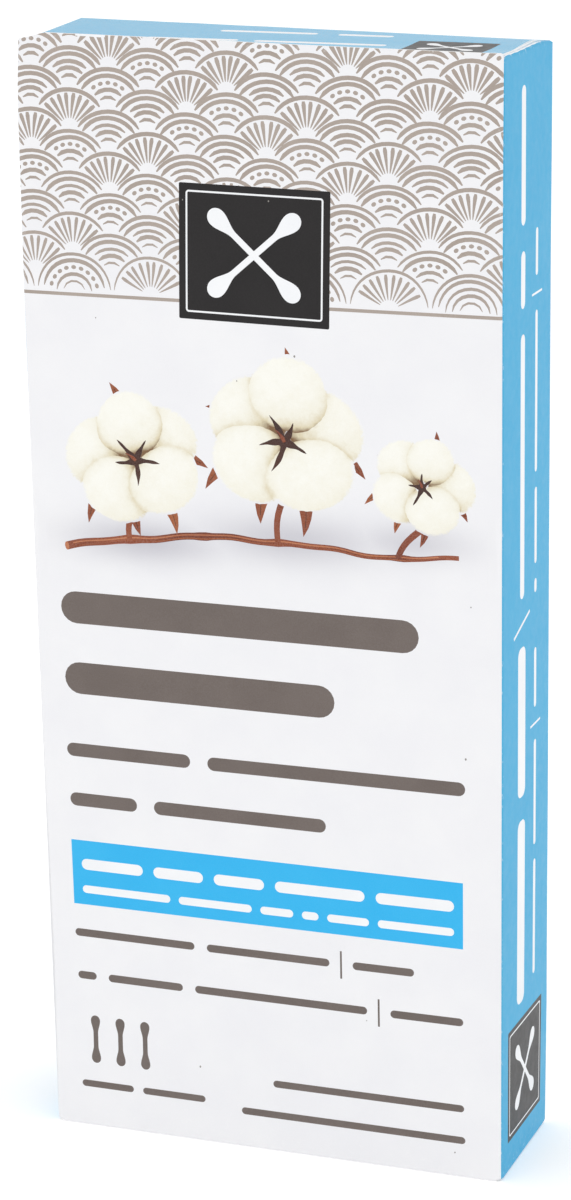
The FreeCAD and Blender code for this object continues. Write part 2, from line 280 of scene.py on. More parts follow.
def ellipse(cx, cz, rx, rz, turn=0.0, n=28, rough=0.0, seed=0):
    g = np.random.default_rng(seed)
    c, s = math.cos(turn), math.sin(turn)
    out = []
    for i in range(n):
        a = 2 * math.pi * i / n
        k = 1 + (g.uniform(-rough, rough) if rough else 0)
        px, pz = rx * k * math.cos(a), rz * k * math.sin(a)
        out.append((cx + c * px - s * pz, cz + s * px + c * pz))
    return out


def stroke(path, widths):
    """A line of varying width as one loop."""
    p = np.asarray(path, float)
    t = np.gradient(p, axis=0)
    t /= np.maximum(np.linalg.norm(t, axis=1), 1e-9)[:, None]
    nrm = np.stack([-t[:, 1], t[:, 0]], 1)
    w = np.broadcast_to(np.asarray(widths, float), (len(p),))[:, None] / 2
    a, b = p + nrm * w, p - nrm * w
    return [tuple(q) for q in b] + [tuple(q) for q in a[::-1]]


def place(loop, fn):
    return [fn(a, b) for a, b in loop]


class Layout:
    """Print shapes in painter's order: (ink, loop)."""

    def __init__(self):
        self.items = []

    def add(self, ink, loop, fn=None):
        self.items.append((ink, place(loop, fn) if fn else list(loop)))

    def pill(self, ink, x0, z0, x1, z1, r=None, hollow=0.0, under="paper", fn=None):
        rr = (z1 - z0) / 2 if r is None else r
        self.add(ink, rrect(x0, z0, x1, z1, rr), fn)
        if hollow:
            h = hollow
            self.add(under, rrect(x0 + h, z0 + h, x1 - h, z1 - h, max(rr - h, 0.05)), fn)

    def words(self, ink, x0, x1, zc, height, parts, gap, **kw):
        """A line of bars, with lengths in the proportions given, between x0 and x1."""
        total = (x1 - x0) - gap * (len(parts) - 1)
        k = total / sum(parts)
        x = x0
        for p in parts:
            self.pill(ink, x, zc - height / 2, x + p * k, zc + height / 2, **kw)
            x += p * k + gap

    def swab(self, ink, cx, cz, length, turn, thick, head, fn=None):
        """A plain cotton swab drawn as a stick with two heads."""
        c, s = math.cos(turn), math.sin(turn)

        def tr(a, b):
            q = (cx + c * a - s * b, cz + s * a + c * b)
            return fn(*q) if fn else q

        h = length / 2
        wide = head * 0.27
        self.add(ink, place(rrect(-h + head * 0.8, -thick / 2, h - head * 0.8, thick / 2), tr))
        for sg in (-1, 1):
            loop = []
            for u in np.concatenate([0.3 * (1 - np.cos(np.linspace(0, math.pi / 2, 11))), np.linspace(0.37, 1, 11)]):
                if u < 0.3:
                    r = max(0.0, 1 - ((0.3 - u) / 0.3) ** 2) ** 0.5
                else:
                    k = (u - 0.3) / 0.7
                    r = 1 - (1 - thick / 2 / wide) * (3 * k * k - 2 * k ** 3)
                loop.append((sg * (h - u * head), r * wide))
            loop = loop + [(a, -b) for a, b in loop[::-1] if b > 1e-6]
            self.add(ink, place(loop, tr))


def fans(lay, x0, x1, z0, z1, rad, ink, seed, fn=None, bold=1.0):
    """A traditional overlapping-fan pattern in cut strokes that swell at the crown.
    Each fan hides what it covers of the rows above it."""
    g = np.random.default_rng(seed)
    rows = int((z1 - z0) / (rad / 2)) + 3
    cols = int((x1 - x0) / (2 * rad)) + 3
    centres = {}
    for j in range(rows):
        for i in range(cols):
            centres[(j, i)] = (x0 + (2 * i + (j % 2)) * rad - rad * 0.6, z0 - rad * 0.02 + j * rad / 2)
    rings = [(0.955, 0.085), (0.80, 0.11), (0.625, 0.075), (0.465, 0.10), (0.29, 0.06)]

    def runs(pts, wid, cover, ends=0.45):
        """The parts of a stroke that no nearer fan hides."""
        n = len(pts)
        ok = np.ones(n, bool)
        for c in cover:
            ok &= np.hypot(pts[:, 0] - c[0], pts[:, 1] - c[1]) > rad * 0.985
        ok &= (pts[:, 1] > z0) & (pts[:, 1] < z1 + 2) & (pts[:, 0] > x0 - 0.6) & (pts[:, 0] < x1 + 0.6)
        k = 0
        while k < n:
            if not ok[k]:
                k += 1
                continue
            e = k
            while e + 1 < n and ok[e + 1]:
                e += 1
            if e - k >= 2:
                w = wid[k:e + 1].copy()
                w[0] *= ends
                w[-1] *= ends
                lay.add(ink, stroke(pts[k:e + 1], w), fn)
            k = e + 1

    for (j, i), (cx, cz) in centres.items():
        cover = [c for (jj, ii), c in centres.items() if jj < j and abs(c[0] - cx) < 2 * rad and abs(c[1] - cz) < 2 * rad]
        tall = (cz - z0) / (z1 - z0)
        kind = (i * 2 + j) % 3
        for q, (rr, ww) in enumerate(rings):
            if kind == 1 and q > 0:
                continue
            if kind == 2 and q == 2:
                # a row of seeds instead of this ring
                r = rr * rad
                for a in np.radians(np.arange(18, 170, 18)):
                    px, pz = cx + r * math.cos(a), cz + r * math.sin(a)
                    if all(math.hypot(px - c[0], pz - c[1]) > rad * 1.06 for c in cover) and x0 < px < x1 and z0 + 0.5 < pz < z1:
                        lay.add(ink, ellipse(px, pz, 0.052 * rad, 0.066 * rad, a, n=8), fn)
                continue
            r = rr * rad * (1 + g.uniform(-0.010, 0.010))
            n = max(8, int(22 * rr) + 2)
            ang = np.linspace(math.radians(-12), math.radians(192), n)
            wob = g.uniform(-0.1, 0.1)
            pts = np.stack([cx + r * np.cos(ang), cz + r * (1 + 0.015 * np.sin(3 * ang + wob * 9)) * np.sin(ang)], 1)
            w = ww * rad * bold * (0.85 + 0.6 * tall) * (0.35 + 0.75 * np.clip(np.sin(ang), 0, 1)) * (1 + g.uniform(-0.12, 0.12))
            runs(pts, np.minimum(w, 0.105 * rad), cover)
        if kind == 1:
            # ribs that swell outwards
            for a in np.radians(np.arange(28, 155, 13.6)):
                a += g.uniform(-0.02, 0.02)
                u = np.linspace(0.25, 0.86, 8)
                bend = 0.016 * np.sin((u - 0.25) / 0.61 * math.pi) * g.uniform(-1, 1)
                pts = np.stack([cx + rad * u * np.cos(a + bend), cz + rad * u * np.sin(a + bend)], 1)
                w = rad * bold * (0.026 + 0.084 * ((u - 0.25) / 0.61)) * (0.9 + 0.3 * tall)
                runs(pts, w, cover, 0.6)
        hub = [(cx + 0.17 * rad * math.cos(a), cz + 0.17 * rad * math.sin(a)) for a in np.linspace(0, math.pi, 8)]
        if all(min(math.hypot(h[0] - c[0], h[1] - c[1]) for h in hub) > rad * 0.99 for c in cover) and z0 <= cz < z1:
            lay.add(ink, hub, fn)


# ---- cotton sprig: lobes, husks and twig, in one list so that the tone can be worked out too
LOBES = []          # (x, z, rx, rz, turn)
BOLLS = []          # (x, z, size)


def lobe_loop(cx, cz, rx, rz, turn, seed, n=150):
    """A soft lump: a few slow swells and a fine fluffy rim."""
    g = np.random.default_rng(seed)
    ph = g.uniform(0, 6.28, 4)
    c, s = math.cos(turn), math.sin(turn)
    out = []
    fine = g.uniform(-1, 1, n)
    fine = fine * 0.6 + np.roll(fine, 1) * 0.4
    for i in range(n):
        a = 2 * math.pi * i / n
        k = 1 + 0.030 * math.sin(2 * a + ph[0]) + 0.022 * math.sin(3 * a + ph[1]) + 0.012 * math.sin(7 * a + ph[2]) + 0.014 * fine[i]
        px, pz = rx * k * math.cos(a), rz * k * math.sin(a)
        out.append((cx + c * px - s * pz, cz + s * px + c * pz))
    return out


def boll(lay, cx, cz, size, turn, seed):
    g = np.random.default_rng(seed)
    BOLLS.append((cx, cz + 0.02 * size, size))
    c, s = math.cos(turn), math.sin(turn)

    def tr(a, b):
        return (cx + c * a - s * b, cz + s * a + c * b)

    def arm(a0, ln, wide, ink, bend):
        u = np.linspace(0, 1, 10)
        a = math.radians(a0) + bend * u
        pts = np.stack([size * ln * u * np.cos(a), size * ln * u * np.sin(a)], 1)
        w = size * wide * (1 - u) ** 0.7 * (1 + 0.25 * np.sin(u * 9 + a0)) + 0.05
        lay.add(ink, place(stroke(pts, w), tr))

    # dry husk leaves behind the lobes, curling at their tips
    for a0, ln, curl in ((-158, 1.30, 0.30), (-58, 1.26, -0.25), (-112, 1.16, 0.2), (6, 1.16, -0.35), (152, 1.14, 0.25), (84, 1.24, 0.2)):
        u = np.linspace(0, 1, 12)
        a = math.radians(a0) + curl * u ** 2
        r = size * ln * u
        w = size * 0.24 * np.sin(np.clip(u * 0.93 + 0.07, 0, 1) * math.pi) ** 0.8 + 0.04
        pts = np.stack([r * np.cos(a), r * np.sin(a)], 1)
        lay.add("husk", place(stroke(pts, w), tr))
        lay.add("husk_dark", place(stroke(pts[5:-1], 0.10 + 0.0 * u[5:-1]), tr))
    spots = [(-0.52, 0.24, 0.58, 0.52, 0.6), (0.54, 0.28, 0.58, 0.50, -0.55), (0.02, 0.60, 0.52, 0.50, 0.0),
             (-0.38, -0.40, 0.56, 0.48, -0.35), (0.40, -0.38, 0.58, 0.50, 0.35)]
    for k, (px, pz, rx, rz, tt) in enumerate(spots):
        px, pz = px + g.uniform(-0.04, 0.04), pz + g.uniform(-0.04, 0.04)
        q = tr(px * size, pz * size)
        rx, rz = rx * size * g.uniform(0.94, 1.06), rz * size * g.uniform(0.94, 1.06)
        LOBES.append((q[0], q[1], rx, rz, turn + tt, len(lay.items)))
        lay.add("cotton%d" % (len(LOBES) - 1), lobe_loop(q[0], q[1], rx * 1.02, rz * 1.02, turn + tt, seed * 10 + k))
    # the dark heart: dry seams of the husk that run out between the lobes
    seams = [(60, 0.34), (121, 0.40), (189, 0.33), (271, 0.44), (351, 0.36)]
    for a0, ln in seams:
        arm(a0 + g.uniform(-5, 5), ln * g.uniform(0.75, 1.1), 0.10, "husk_dark", g.uniform(-0.25, 0.25))
    lay.add("husk_dark", place(lobe_loop(0, 0, 0.085 * size, 0.07 * size, 0.5, seed + 70, 24), tr))
    arm(118, 0.2, 0.05, "husk", 0.3)


def sprig(lay):
    t = np.linspace(0, 1, 61)
    # twig, a long low curve from the lower left up to the right
    xs = -33.5 + 66.0 * t
    zs = 101.6 + 3.2 * t + 2.2 * np.sin(t * math.pi * 1.3) + 9.0 * np.clip(t - 0.74, 0, 1) ** 1.3 + 0.18 * np.sin(t * 21) + 0.1 * np.sin(t * 47)
    knots = 0.35 * (np.exp(-((t - 0.17) / 0.02) ** 2) + np.exp(-((t - 0.55) / 0.02) ** 2) + np.exp(-((t - 0.86) / 0.02) ** 2) + np.exp(-((t - 0.36) / 0.015) ** 2))
    wd = 1.35 - 0.6 * t + knots
    lay.add("twig", stroke(np.stack([xs, zs], 1), wd))
    lay.add("twig_light", stroke(np.stack([xs[1:-3], zs[1:-3] + wd[1:-3] * 0.17], 1), 0.20))
    lay.add("husk", stroke(np.stack([xs[2:-2], zs[2:-2] - wd[2:-2] * 0.30], 1), 0.16))
    lay.add("twig_light", ellipse(xs[0], zs[0], 0.36, 0.70, 0.15, n=14))
    for bx, bz, at in ((-21.0, 113.0, 0.17), (4.2, 117.0, 0.55), (26.6, 113.0, 0.86)):
        i = int(at * 60)
        p0 = np.array([xs[i], zs[i]])
        p1 = np.array([bx, bz - 4.0])
        u = np.linspace(0, 1, 8)[:, None]
        path = p0 * (1 - u) + p1 * u + np.array([[-0.7, 0.0]]) * np.sin(u * math.pi)
        lay.add("twig", stroke(path, np.linspace(0.95, 1.1, 8)))
    boll(lay, -21.0, 116.6, 10.6, 0.22, 3)
    boll(lay, 4.2, 121.4, 12.2, -0.12, 5)
    boll(lay, 26.6, 115.6, 7.6, -0.35, 8)


def cotton_tone(i, p):
    """Shade of a lobe: lit from above left, darker and yellower towards its rim."""
    x, z, rx, rz, tt, _ = LOBES[i]
    c, s = math.cos(-tt), math.sin(-tt)
    dx, dz = p[:, 0] - x, p[:, 1] - z
    a, b = (c * dx - s * dz) / rx, (s * dx + c * dz) / rz
    rho = np.sqrt(a * a + b * b)
    lit = (dx * 0.45 - dz * 0.9) / max(rx, rz)
    tone = 0.04 + 0.16 * np.clip(rho, 0, 1.2) ** 3 + 0.20 * np.clip(lit, -0.5, 1.0) + 0.05 * np.sin(dx * 1.1 + i) * np.sin(dz * 1.3 + 2 * i)
    # shade where a lobe drawn later lies over this one
    for j in range(i + 1, min(len(LOBES), (i // 5) * 5 + 5)):
        xj, zj, rxj, rzj, tj, _ = LOBES[j]
        c, s = math.cos(-tj), math.sin(-tj)
        ex, ez = p[:, 0] - xj, p[:, 1] - zj
        far = np.sqrt(((c * ex - s * ez) / rxj) ** 2 + ((s * ex + c * ez) / rzj) ** 2) - 1
        tone = tone + 0.42 * np.exp(-np.clip(far, 0, None) * 6.5)
    # the crease on this lobe's side, where it meets one beneath it
    for j in range((i // 5) * 5, i):
        xj, zj, rxj, rzj, tj, _ = LOBES[j]
        c, s = math.cos(-tj), math.sin(-tj)
        ex, ez = p[:, 0] - xj, p[:, 1] - zj
        rj = np.sqrt(((c * ex - s * ez) / rxj) ** 2 + ((s * ex + c * ez) / rzj) ** 2)
        tone = tone + 0.30 * np.exp(-np.clip(1.03 - rho, 0, None) * 10) * np.clip((1.05 - rj) * 5, 0, 1)
    # and round the heart of the boll
    bx, bz = BOLLS[i // 5][:2]
    size = BOLLS[i // 5][2]
    tone = tone + 0.85 * np.exp(-np.hypot(p[:, 0] - bx, p[:, 1] - bz) / (0.17 * size))
    return np.clip(tone, 0, 1)


def cotton_depth(i, p):
    """How far inside the boll's fluffy rim, from 0 to 1."""
    best = np.full(len(p), -1.0)
    for j in range((i // 5) * 5, (i // 5) * 5 + 5):
        x, z, rx, rz, tt, _ = LOBES[j]
        c, s = math.cos(-tt), math.sin(-tt)
        dx, dz = p[:, 0] - x, p[:, 1] - z
        rho = np.sqrt(((c * dx - s * dz) / rx) ** 2 + ((s * dx + c * dz) / rz) ** 2)
        best = np.maximum(best, (1 - rho) * min(rx, rz))
    return np.clip((best + 0.30) / 1.1, 0, 1)


def paper_tone(p):
    """Soft grey shade that the sprig throws on the white."""
    tone = np.zeros(len(p))
    for cx, cz, rx, rz, k in ((-20, 103.4, 15, 4.2, 0.60), (5, 105.6, 17, 4.8, 0.55), (25, 106.6, 11, 3.8, 0.45)):
        q = ((p[:, 0] - cx) / rx) ** 2 + ((p[:, 1] - cz) / rz) ** 2
        tone = np.maximum(tone, k * np.exp(-q * 1.4))
    inside = (np.abs(p[:, 0]) < 38.7) & (p[:, 1] > 96) & (p[:, 1] < 138)
    return np.where(inside, tone, 0)


def front_print(lay):
    # pattern band
    fans(lay, -39.6, 39.6, 143.4, 184.0, 6.5, "taupe", 11)
    lay.add("taupe", rrect(-39.6, 142.7, 39.6, 143.25))
    # dark label with a plain pictogram, printed a degree out of square
    def turned(x, z):
        dx, dz, a = 1.012 * (x + 0.8), 1.012 * (z - 150.7), -0.0175
        return (-0.3 + dx * math.cos(a) - dz * math.sin(a), 150.7 + dx * math.sin(a) + dz * math.cos(a))

    lay.add("charcoal", rrect(-13.0, 140.1, 11.4, 161.3, 0.25), turned)
    lay.pill("white_ink", -11.9, 141.2, 10.3, 160.2, r=0.5, hollow=0.28, under="charcoal", fn=turned)
    lay.swab("white_ink", -0.8, 150.7, 19.5, math.radians(42), 1.0, 5.4, turned)
    lay.swab("white_ink", -0.8, 150.7, 19.5, math.radians(138), 1.0, 5.4, turned)
    sprig(lay)
    # stout bars
    for x0, x1, zc, hh in ((-35.0, 25.9, 91.3, 5.4), (-34.8, 11.8, 79.3, 5.4)):
        lay.pill("ink", x0, zc - hh / 2, x1, zc + hh / 2)
    # slim bars
    lay.words("ink", -35.0, 33.4, 66.9, 2.3, [4, 8], 3.0)
    lay.words("ink", -34.8, 10.0, 58.3, 2.3, [2, 5], 3.0)
    # blue band
    lay.add("blue_band", rrect(-35.0, 39.85, 33.0, 51.15))
    lay.words("white_ink", -33.3, 31.5, 47.0, 1.9, [5, 4, 4, 7, 6], 1.9)
    lay.words("white_ink", -33.3, 31.5, 42.6, 1.35, [11, 9, 4, 2, 5, 9], 1.5)
    for zc, ends, parts, x in ((34.8, (-35.0, 24.7), [6, 6], 12.2), (27.2, (-34.8, 33.0), [1, 4, 9], 18.6)):
        lay.words("ink", ends[0], x - 2.0, zc, 1.35, parts, 2.2)
        lay.add("ink", rrect(x - 0.16, zc - 2.5, x + 0.16, zc + 2.3))
        lay.words("ink", x + 2.0, ends[1], zc, 1.35, [1], 2.2)
    # three upright swabs, and bars
    for k, cx in enumerate((-31.9, -27.4, -22.9)):
        lay.swab("ink", cx, 15.8, 8.6, 90 * math.pi / 180, 0.85, 3.1)
    lay.words("ink", -34.6, -12.2, 7.6, 1.2, [5, 6], 1.7)
    lay.words("ink", 0.0, 33.1, 12.1, 1.25, [1], 1.5)
    lay.words("ink", -5.7, 33.3, 6.5, 1.25, [1], 1.5)
    # a painted highlight: a bright white spot on the cut edge
    lay.add("white_ink", [(-29.6, 183.72), (-28.4, 183.66), (-27.0, 183.62), (-25.6, 183.55), (-24.6, 183.60), (-24.6, 184.2), (-29.6, 184.3)])
    # specks of dust pressed into the coating
    for x, z, r in ((-11.9, 158.9, 0.10), (2.2, 159.3, 0.12), (6.1, 135.2, 0.16), (33.5, 72.0, 0.16), (-13.0, 13.4, 0.16),
                    (31.5, 4.2, 0.12), (-3.5, 130.7, 0.10), (34.4, 97.0, 0.10), (16.5, 25.5, 0.09), (-27.0, 139.4, 0.09)):
        lay.add("speck", ellipse(x, z, r, r * 1.3, n=7))


def side_print(lay, fn):
    """The same bars on either side panel; fn turns (y, z) into the blank's (s, v)."""
    def up_bar(ink, y0, y1, z0, z1, r=None, hollow=0.0):
        w = (y1 - y0)
        rr = min(w / 2, 1.3) if r is None else r
        lay.add(ink, rrect(y0, z0, y1, z1, rr), fn)
        if hollow:
            lay.add("blue_side", rrect(y0 + hollow, z0 + hollow, y1 - hollow, z1 - hollow, max(rr - hollow, 0.05)), fn)

    up_bar("white_ink", -4.6, -0.8, 27.5, 59.0, 1.4)
    up_bar("white_ink", -4.6, -0.8, 63.0, 88.0, 1.4)
    lay.add("white_ink", stroke([(-6.8, 90.4), (1.4, 93.0)], 0.5), fn)
    for z0, z1 in ((96.0, 138.5), (142.5, 151.5), (155.5, 177.0)):
        up_bar("white_ink", -3.7, -1.6, z0, z1)
    for z0, z1 in ((30.0, 50.0), (52.5, 70.5), (76.0, 86.0), (95.2, 97.5), (100.0, 112.5), (115.0, 141.0), (146.5, 154.0)):
        up_bar("white_ink", 3.9, 5.1, z0, z1)
    for z in (73.2, 143.7):
        lay.add("white_ink", rrect(2.0, z - 0.18, 7.4, z + 0.18), fn)
    lay.add("charcoal", rrect(-9.2, 5.3, 9.0, 24.6, 0.25), fn)
    lay.add("white_ink", rrect(-8.4, 6.1, 8.2, 23.8, 0.4), fn)
    lay.add("charcoal", rrect(-8.15, 6.35, 7.95, 23.55, 0.35), fn)
    lay.swab("white_ink", -0.1, 14.95, 14.6, math.radians(48), 0.85, 4.3, fn)
    lay.swab("white_ink", -0.1, 14.95, 14.6, math.radians(132), 0.85, 4.3, fn)


def back_print(lay):
    def fn(a, b):
        # a runs to the right as seen from behind
        return (s_back(-a), b)

    def w(ink, x0, x1, zc, h, parts, gap, **kw):
        lay.words(ink, x0, x1, zc, h, parts, gap, fn=fn, **kw)

    fans(lay, -38.6, 38.6, 157.0, 178.0, 6.5, "taupe", 23, fn=fn, bold=0.9)
    lay.add("taupe", rrect(-38.6, 156.3, 38.6, 156.85), fn)
    lay.add("blue_band", rrect(-34.0, 128.0, 34.0, 146.0), fn)
    w("white_ink", -31.5, 20.0, 140.0, 3.4, [5, 6], 2.4)
    w("white_ink", -31.5, 29.0, 133.5, 1.7, [4, 7, 3, 6], 1.8)
    for k in range(9):
        w("ink", -34.0, (33, 31, 34, 28, 33, 30, 34, 32, 12)[k], 118.0 - 5.2 * k, 1.25, [[5, 3, 6, 4], [3, 7, 4, 5, 2], [6, 2, 5, 4], [4, 4, 7]][k % 4], 1.5)
    lay.add("ink", rrect(-34.0, 67.6, 34.0, 67.9), fn)
    for k in range(7):
        w("ink", -34.0, (20, 27, 24, 29, 18, 26, 10)[k], 61.0 - 4.6 * k, 1.1, [[4, 6, 3], [5, 3, 4, 2], [3, 7, 4]][k % 3], 1.4)
    lay.add("charcoal", rrect(-34.0, 7.0, -16.0, 25.0, 0.25), fn)
    lay.swab("white_ink", -25.0, 16.0, 14.5, math.radians(45), 0.85, 4.2, fn)
    lay.swab("white_ink", -25.0, 16.0, 14.5, math.radians(135), 0.85, 4.2, fn)
    w("ink", -11.0, 34.0, 20.0, 1.3, [4, 6, 5], 1.6)
    w("ink", -11.0, 28.0, 15.4, 1.3, [6, 3, 4], 1.6)
    w("ink", -11.0, 31.0, 10.8, 1.3, [3, 5, 5], 1.6)


def lid_print(lay):
    def fn(x, y):
        return (x, y - (HY - RC) - W_PLATE)

    # read from behind: upside down as seen from the front
    for x0, x1 in ((-11.5, 4.6), (8.0, 17.0)):
        lay.add("white_ink", rrect(x0, 2.1, x1, 3.7, 0.8), fn)
    for x0, x1 in ((-20.5, -5.2), (-2.6, 18.8)):
        lay.add("white_ink", rrect(x0, -6.9, x1, -5.3, 0.8), fn)
    # a pale blue wedge along the lid's right edge, widening towards the back: painted sheen
    lay.add("scuff", [(38.95, -9.0), (38.95, 12.3), (38.05, 12.3), (38.1, 7.0), (38.35, 1.0), (38.6, -5.0)], fn)
    lay.add("charcoal", rrect(22.2, -11.0, 35.2, -0.3, 0.2), fn)
    lay.swab("white_ink", 28.7, -5.6, 10.4, math.radians(35), 0.7, 3.3, fn)
    lay.swab("white_ink", 28.7, -5.6, 10.4, math.radians(145), 0.7, 3.3, fn)


# --------------------------------------------------------------------------
# cut the blank into triangles along its print, fold it and give it its thickness
# --------------------------------------------------------------------------
def ccw(loop):
    p = np.asarray(loop, float)
    a = np.sum(p[:, 0] * np.roll(p[:, 1], -1) - np.roll(p[:, 0], -1) * p[:, 1])
    return list(loop) if a > 0 else list(loop)[::-1]


def cut(outline, items, lines, points):
    verts, faces, edges, inks = [], [], [], []

    def loop_in(loop):
        k = len(verts)
        loop = ccw(loop)
        verts.extend(Vector((float(a), float(b))) for a, b in loop)
        faces.append(list(range(k, k + len(loop))))

    loop_in(outline)
    inks.append("paper")
    for ink, loop in items:
        loop_in(loop)
        inks.append(ink)
    for path in lines:
        k = len(verts)
        verts.extend(Vector((float(a), float(b))) for a, b in path)
        edges.extend((k + i, k + i + 1) for i in range(len(path) - 1))
    verts.extend(Vector((float(a), float(b))) for a, b in points)
    v, _, f, _, _, of = delaunay_2d_cdt(verts, edges, faces, 0, 1e-4, True)
    V = np.array([(p.x, p.y) for p in v])
    tri, ink = [], []
    for t, o in zip(f, of):
        if 0 in o:
            tri.append(t)
            ink.append(max(o))
    F = np.array(tri, int)
    a = V[F[:, 0]]
    b = V[F[:, 1]]
    c = V[F[:, 2]]
    area = (b[:, 0] - a[:, 0]) * (c[:, 1] - a[:, 1]) - (b[:, 1] - a[:, 1]) * (c[:, 0] - a[:, 0])
    F[area < 0] = F[area < 0][:, ::-1]
    keep = np.abs(area) > 1e-7
    F = F[keep]
    ink = np.array(ink)[keep]
    used = np.unique(F)
    remap = -np.ones(len(V), int)
    remap[used] = np.arange(len(used))
    return V[used], remap[F], [inks[i] for i in ink]


def sheet_mesh(name, V, F, inks, fold, mats, wear=None, tones=None, thickness=T):
    """The folded sheet as a closed mesh: printed outside, bare inside, raw edge between."""
    e = 0.004
    P = fold(V)
    ds = fold(V + [e, 0]) - fold(V - [e, 0])
    dv = fold(V + [0, e]) - fold(V - [0, e])
    N = np.cross(ds, dv)
    N /= np.maximum(np.linalg.norm(N, axis=1), 1e-12)[:, None]
    n = len(V)
    inner = P - thickness * N
    # rim
    half = {}
    for t in F:
        for i in range(3):
            a, b = int(t[i]), int(t[(i + 1) % 3])
            half[(a, b)] = True
    rim = [(a, b) for (a, b) in half if (b, a) not in half]
    pos = np.concatenate([P, inner]) * MM
    faces = [tuple(int(i) for i in t) for t in F]
    faces += [tuple(int(i) + n for i in t[::-1]) for t in F]
    faces += [(a, a + n, b + n, b) for a, b in rim]
    me = bpy.data.meshes.new(name)
    me.from_pydata([tuple(p) for p in pos], [], faces)
    names = []
    for m in mats:
        names.append(m)
        me.materials.append(MATS[m])
    idx = {m: i for i, m in enumerate(names)}
    mi = [idx[ink_name(i)] for i in inks] + [idx["board_inside"]] * len(F) + [idx["raw_edge"]] * len(rim)
    me.polygons.foreach_set("material_index", mi)
    me.polygons.foreach_set("use_smooth", [True] * (2 * len(F)) + [False] * len(rim))
    # rest position for the fine textures, wear and print tone
    lay = me.attributes.new("lay", "FLOAT_VECTOR", "POINT")
    lay.data.foreach_set("vector", (pos * 1000).astype(np.float32).ravel())
    wr = me.attributes.new("wear", "FLOAT", "POINT")
    wv = wear(V) if wear else np.zeros(n)
    wr.data.foreach_set("value", np.concatenate([wv, wv * 0]).astype(np.float32))
    tone = np.zeros(3 * len(F) * 2 + 4 * len(rim), np.float32)
    if tones:
        flat = V[F.ravel()]
        names_c = np.repeat(np.array(inks, dtype=object), 3)
        tv = np.zeros(len(flat))
        pm = names_c == "paper"
        tv[pm] = paper_tone(flat[pm])
        for i in range(len(LOBES)):
            cm = names_c == "cotton%d" % i
            if cm.any():
                tv[cm] = cotton_tone(i, flat[cm])
        tone[:3 * len(F)] = tv
        fade = np.ones(len(tone), np.float32)
        under = np.zeros(len(tone), np.float32)
        fv, uv_ = np.ones(len(flat)), np.zeros(len(flat))
        for i in range(len(LOBES)):
            cm = names_c == "cotton%d" % i
            if cm.any():
                fv[cm] = cotton_depth(i, flat[cm])
                uv_[cm] = paper_tone(flat[cm])
        fade[:3 * len(F)] = fv
        under[:3 * len(F)] = uv_
        for nm, arr in (("fade", fade), ("under", under)):
            at = me.attributes.new(nm, "FLOAT", "CORNER")
            at.data.foreach_set("value", arr)
    tn = me.attributes.new("tone", "FLOAT", "CORNER")
    tn.data.foreach_set("value", tone)
    me.update()
    # shading normals of the true folded surface
    loops = np.zeros((len(me.loops), 3))
    k = 3 * len(F)
    loops[:k] = N[F.ravel()]
    loops[k:2 * k] = -N[F[:, ::-1].ravel()]
    if rim:
        fn_ = np.zeros(len(me.polygons) * 3, np.float32)
        me.polygons.foreach_get("normal", fn_)
        fn_ = fn_.reshape(-1, 3)[2 * len(F):]
        loops[2 * k:] = np.repeat(fn_, 4, axis=0)
    me.normals_split_custom_set(loops.tolist())
    ob = bpy.data.objects.new(name, me)
    bpy.context.scene.collection.objects.link(ob)
    return ob


def ink_name(i):
    return "cotton_print" if i.startswith("cotton") else i


# --------------------------------------------------------------------------
# materials
# --------------------------------------------------------------------------
def lin(c):
    return tuple(((v / 255) / 12.92 if v / 255 <= 0.04045 else ((v / 255 + 0.055) / 1.055) ** 2.4) for v in c) + (1.0,)


MATS = {}


class Nodes:
    def __init__(self, name):
        self.m = bpy.data.materials.new(name)
        self.m.use_nodes = True
        self.t = self.m.node_tree
        self.t.nodes.clear()
        self.out = self.t.nodes.new("ShaderNodeOutputMaterial")
        self.b = self.t.nodes.new("ShaderNodeBsdfPrincipled")
        self.link(self.b.outputs[0], self.out.inputs[0])

    def new(self, kind, **kw):
        n = self.t.nodes.new(kind)
        for k, v in kw.items():
            setattr(n, k, v)
        return n

    def link(self, a, b):
        self.t.links.new(a, b)

    def attr(self, name, vec=False):
        n = self.new("ShaderNodeAttribute", attribute_name=name)
        return n.outputs["Vector"] if vec else n.outputs["Fac"]

    def noise(self, vec, scale, detail=2.0, rough=0.5):
        n = self.new("ShaderNodeTexNoise")
        n.inputs["Scale"].default_value = scale
        n.inputs["Detail"].default_value = detail
        n.inputs["Roughness"].default_value = rough
        self.link(vec, n.inputs["Vector"])
        return n.outputs["Fac"]

    def mapr(self, v, a, b, c, d, smooth=False):
        n = self.new("ShaderNodeMapRange")
        if smooth:
            n.interpolation_type = "SMOOTHSTEP"
        for k, x in zip(("From Min", "From Max", "To Min", "To Max"), (a, b, c, d)):
            n.inputs[k].default_value = x
        self.link(v, n.inputs["Value"])
        return n.outputs[0]

    def math(self, op, a, b=None):
        n = self.new("ShaderNodeMath", operation=op)
        for i, x in enumerate((a, b)):
            if x is None:
                continue
            if isinstance(x, (int, float)):
                n.inputs[i].default_value = x
            else:
                self.link(x, n.inputs[i])
        return n.outputs[0]

    def mix(self, fac, a, b):
        n = self.new("ShaderNodeMix", data_type="RGBA")
        if isinstance(fac, (int, float)):
            n.inputs[0].default_value = fac
        else:
            self.link(fac, n.inputs[0])
        for i, x in ((6, a), (7, b)):
            if isinstance(x, tuple):
                n.inputs[i].default_value = x
            else:
                self.link(x, n.inputs[i])
        return n.outputs[2]

    def bump(self, height, strength, dist):
        n = self.new("ShaderNodeBump")
        n.inputs["Strength"].default_value = strength
        n.inputs["Distance"].default_value = dist
        self.link(height, n.inputs["Height"])
        self.link(n.outputs[0], self.b.inputs["Normal"])


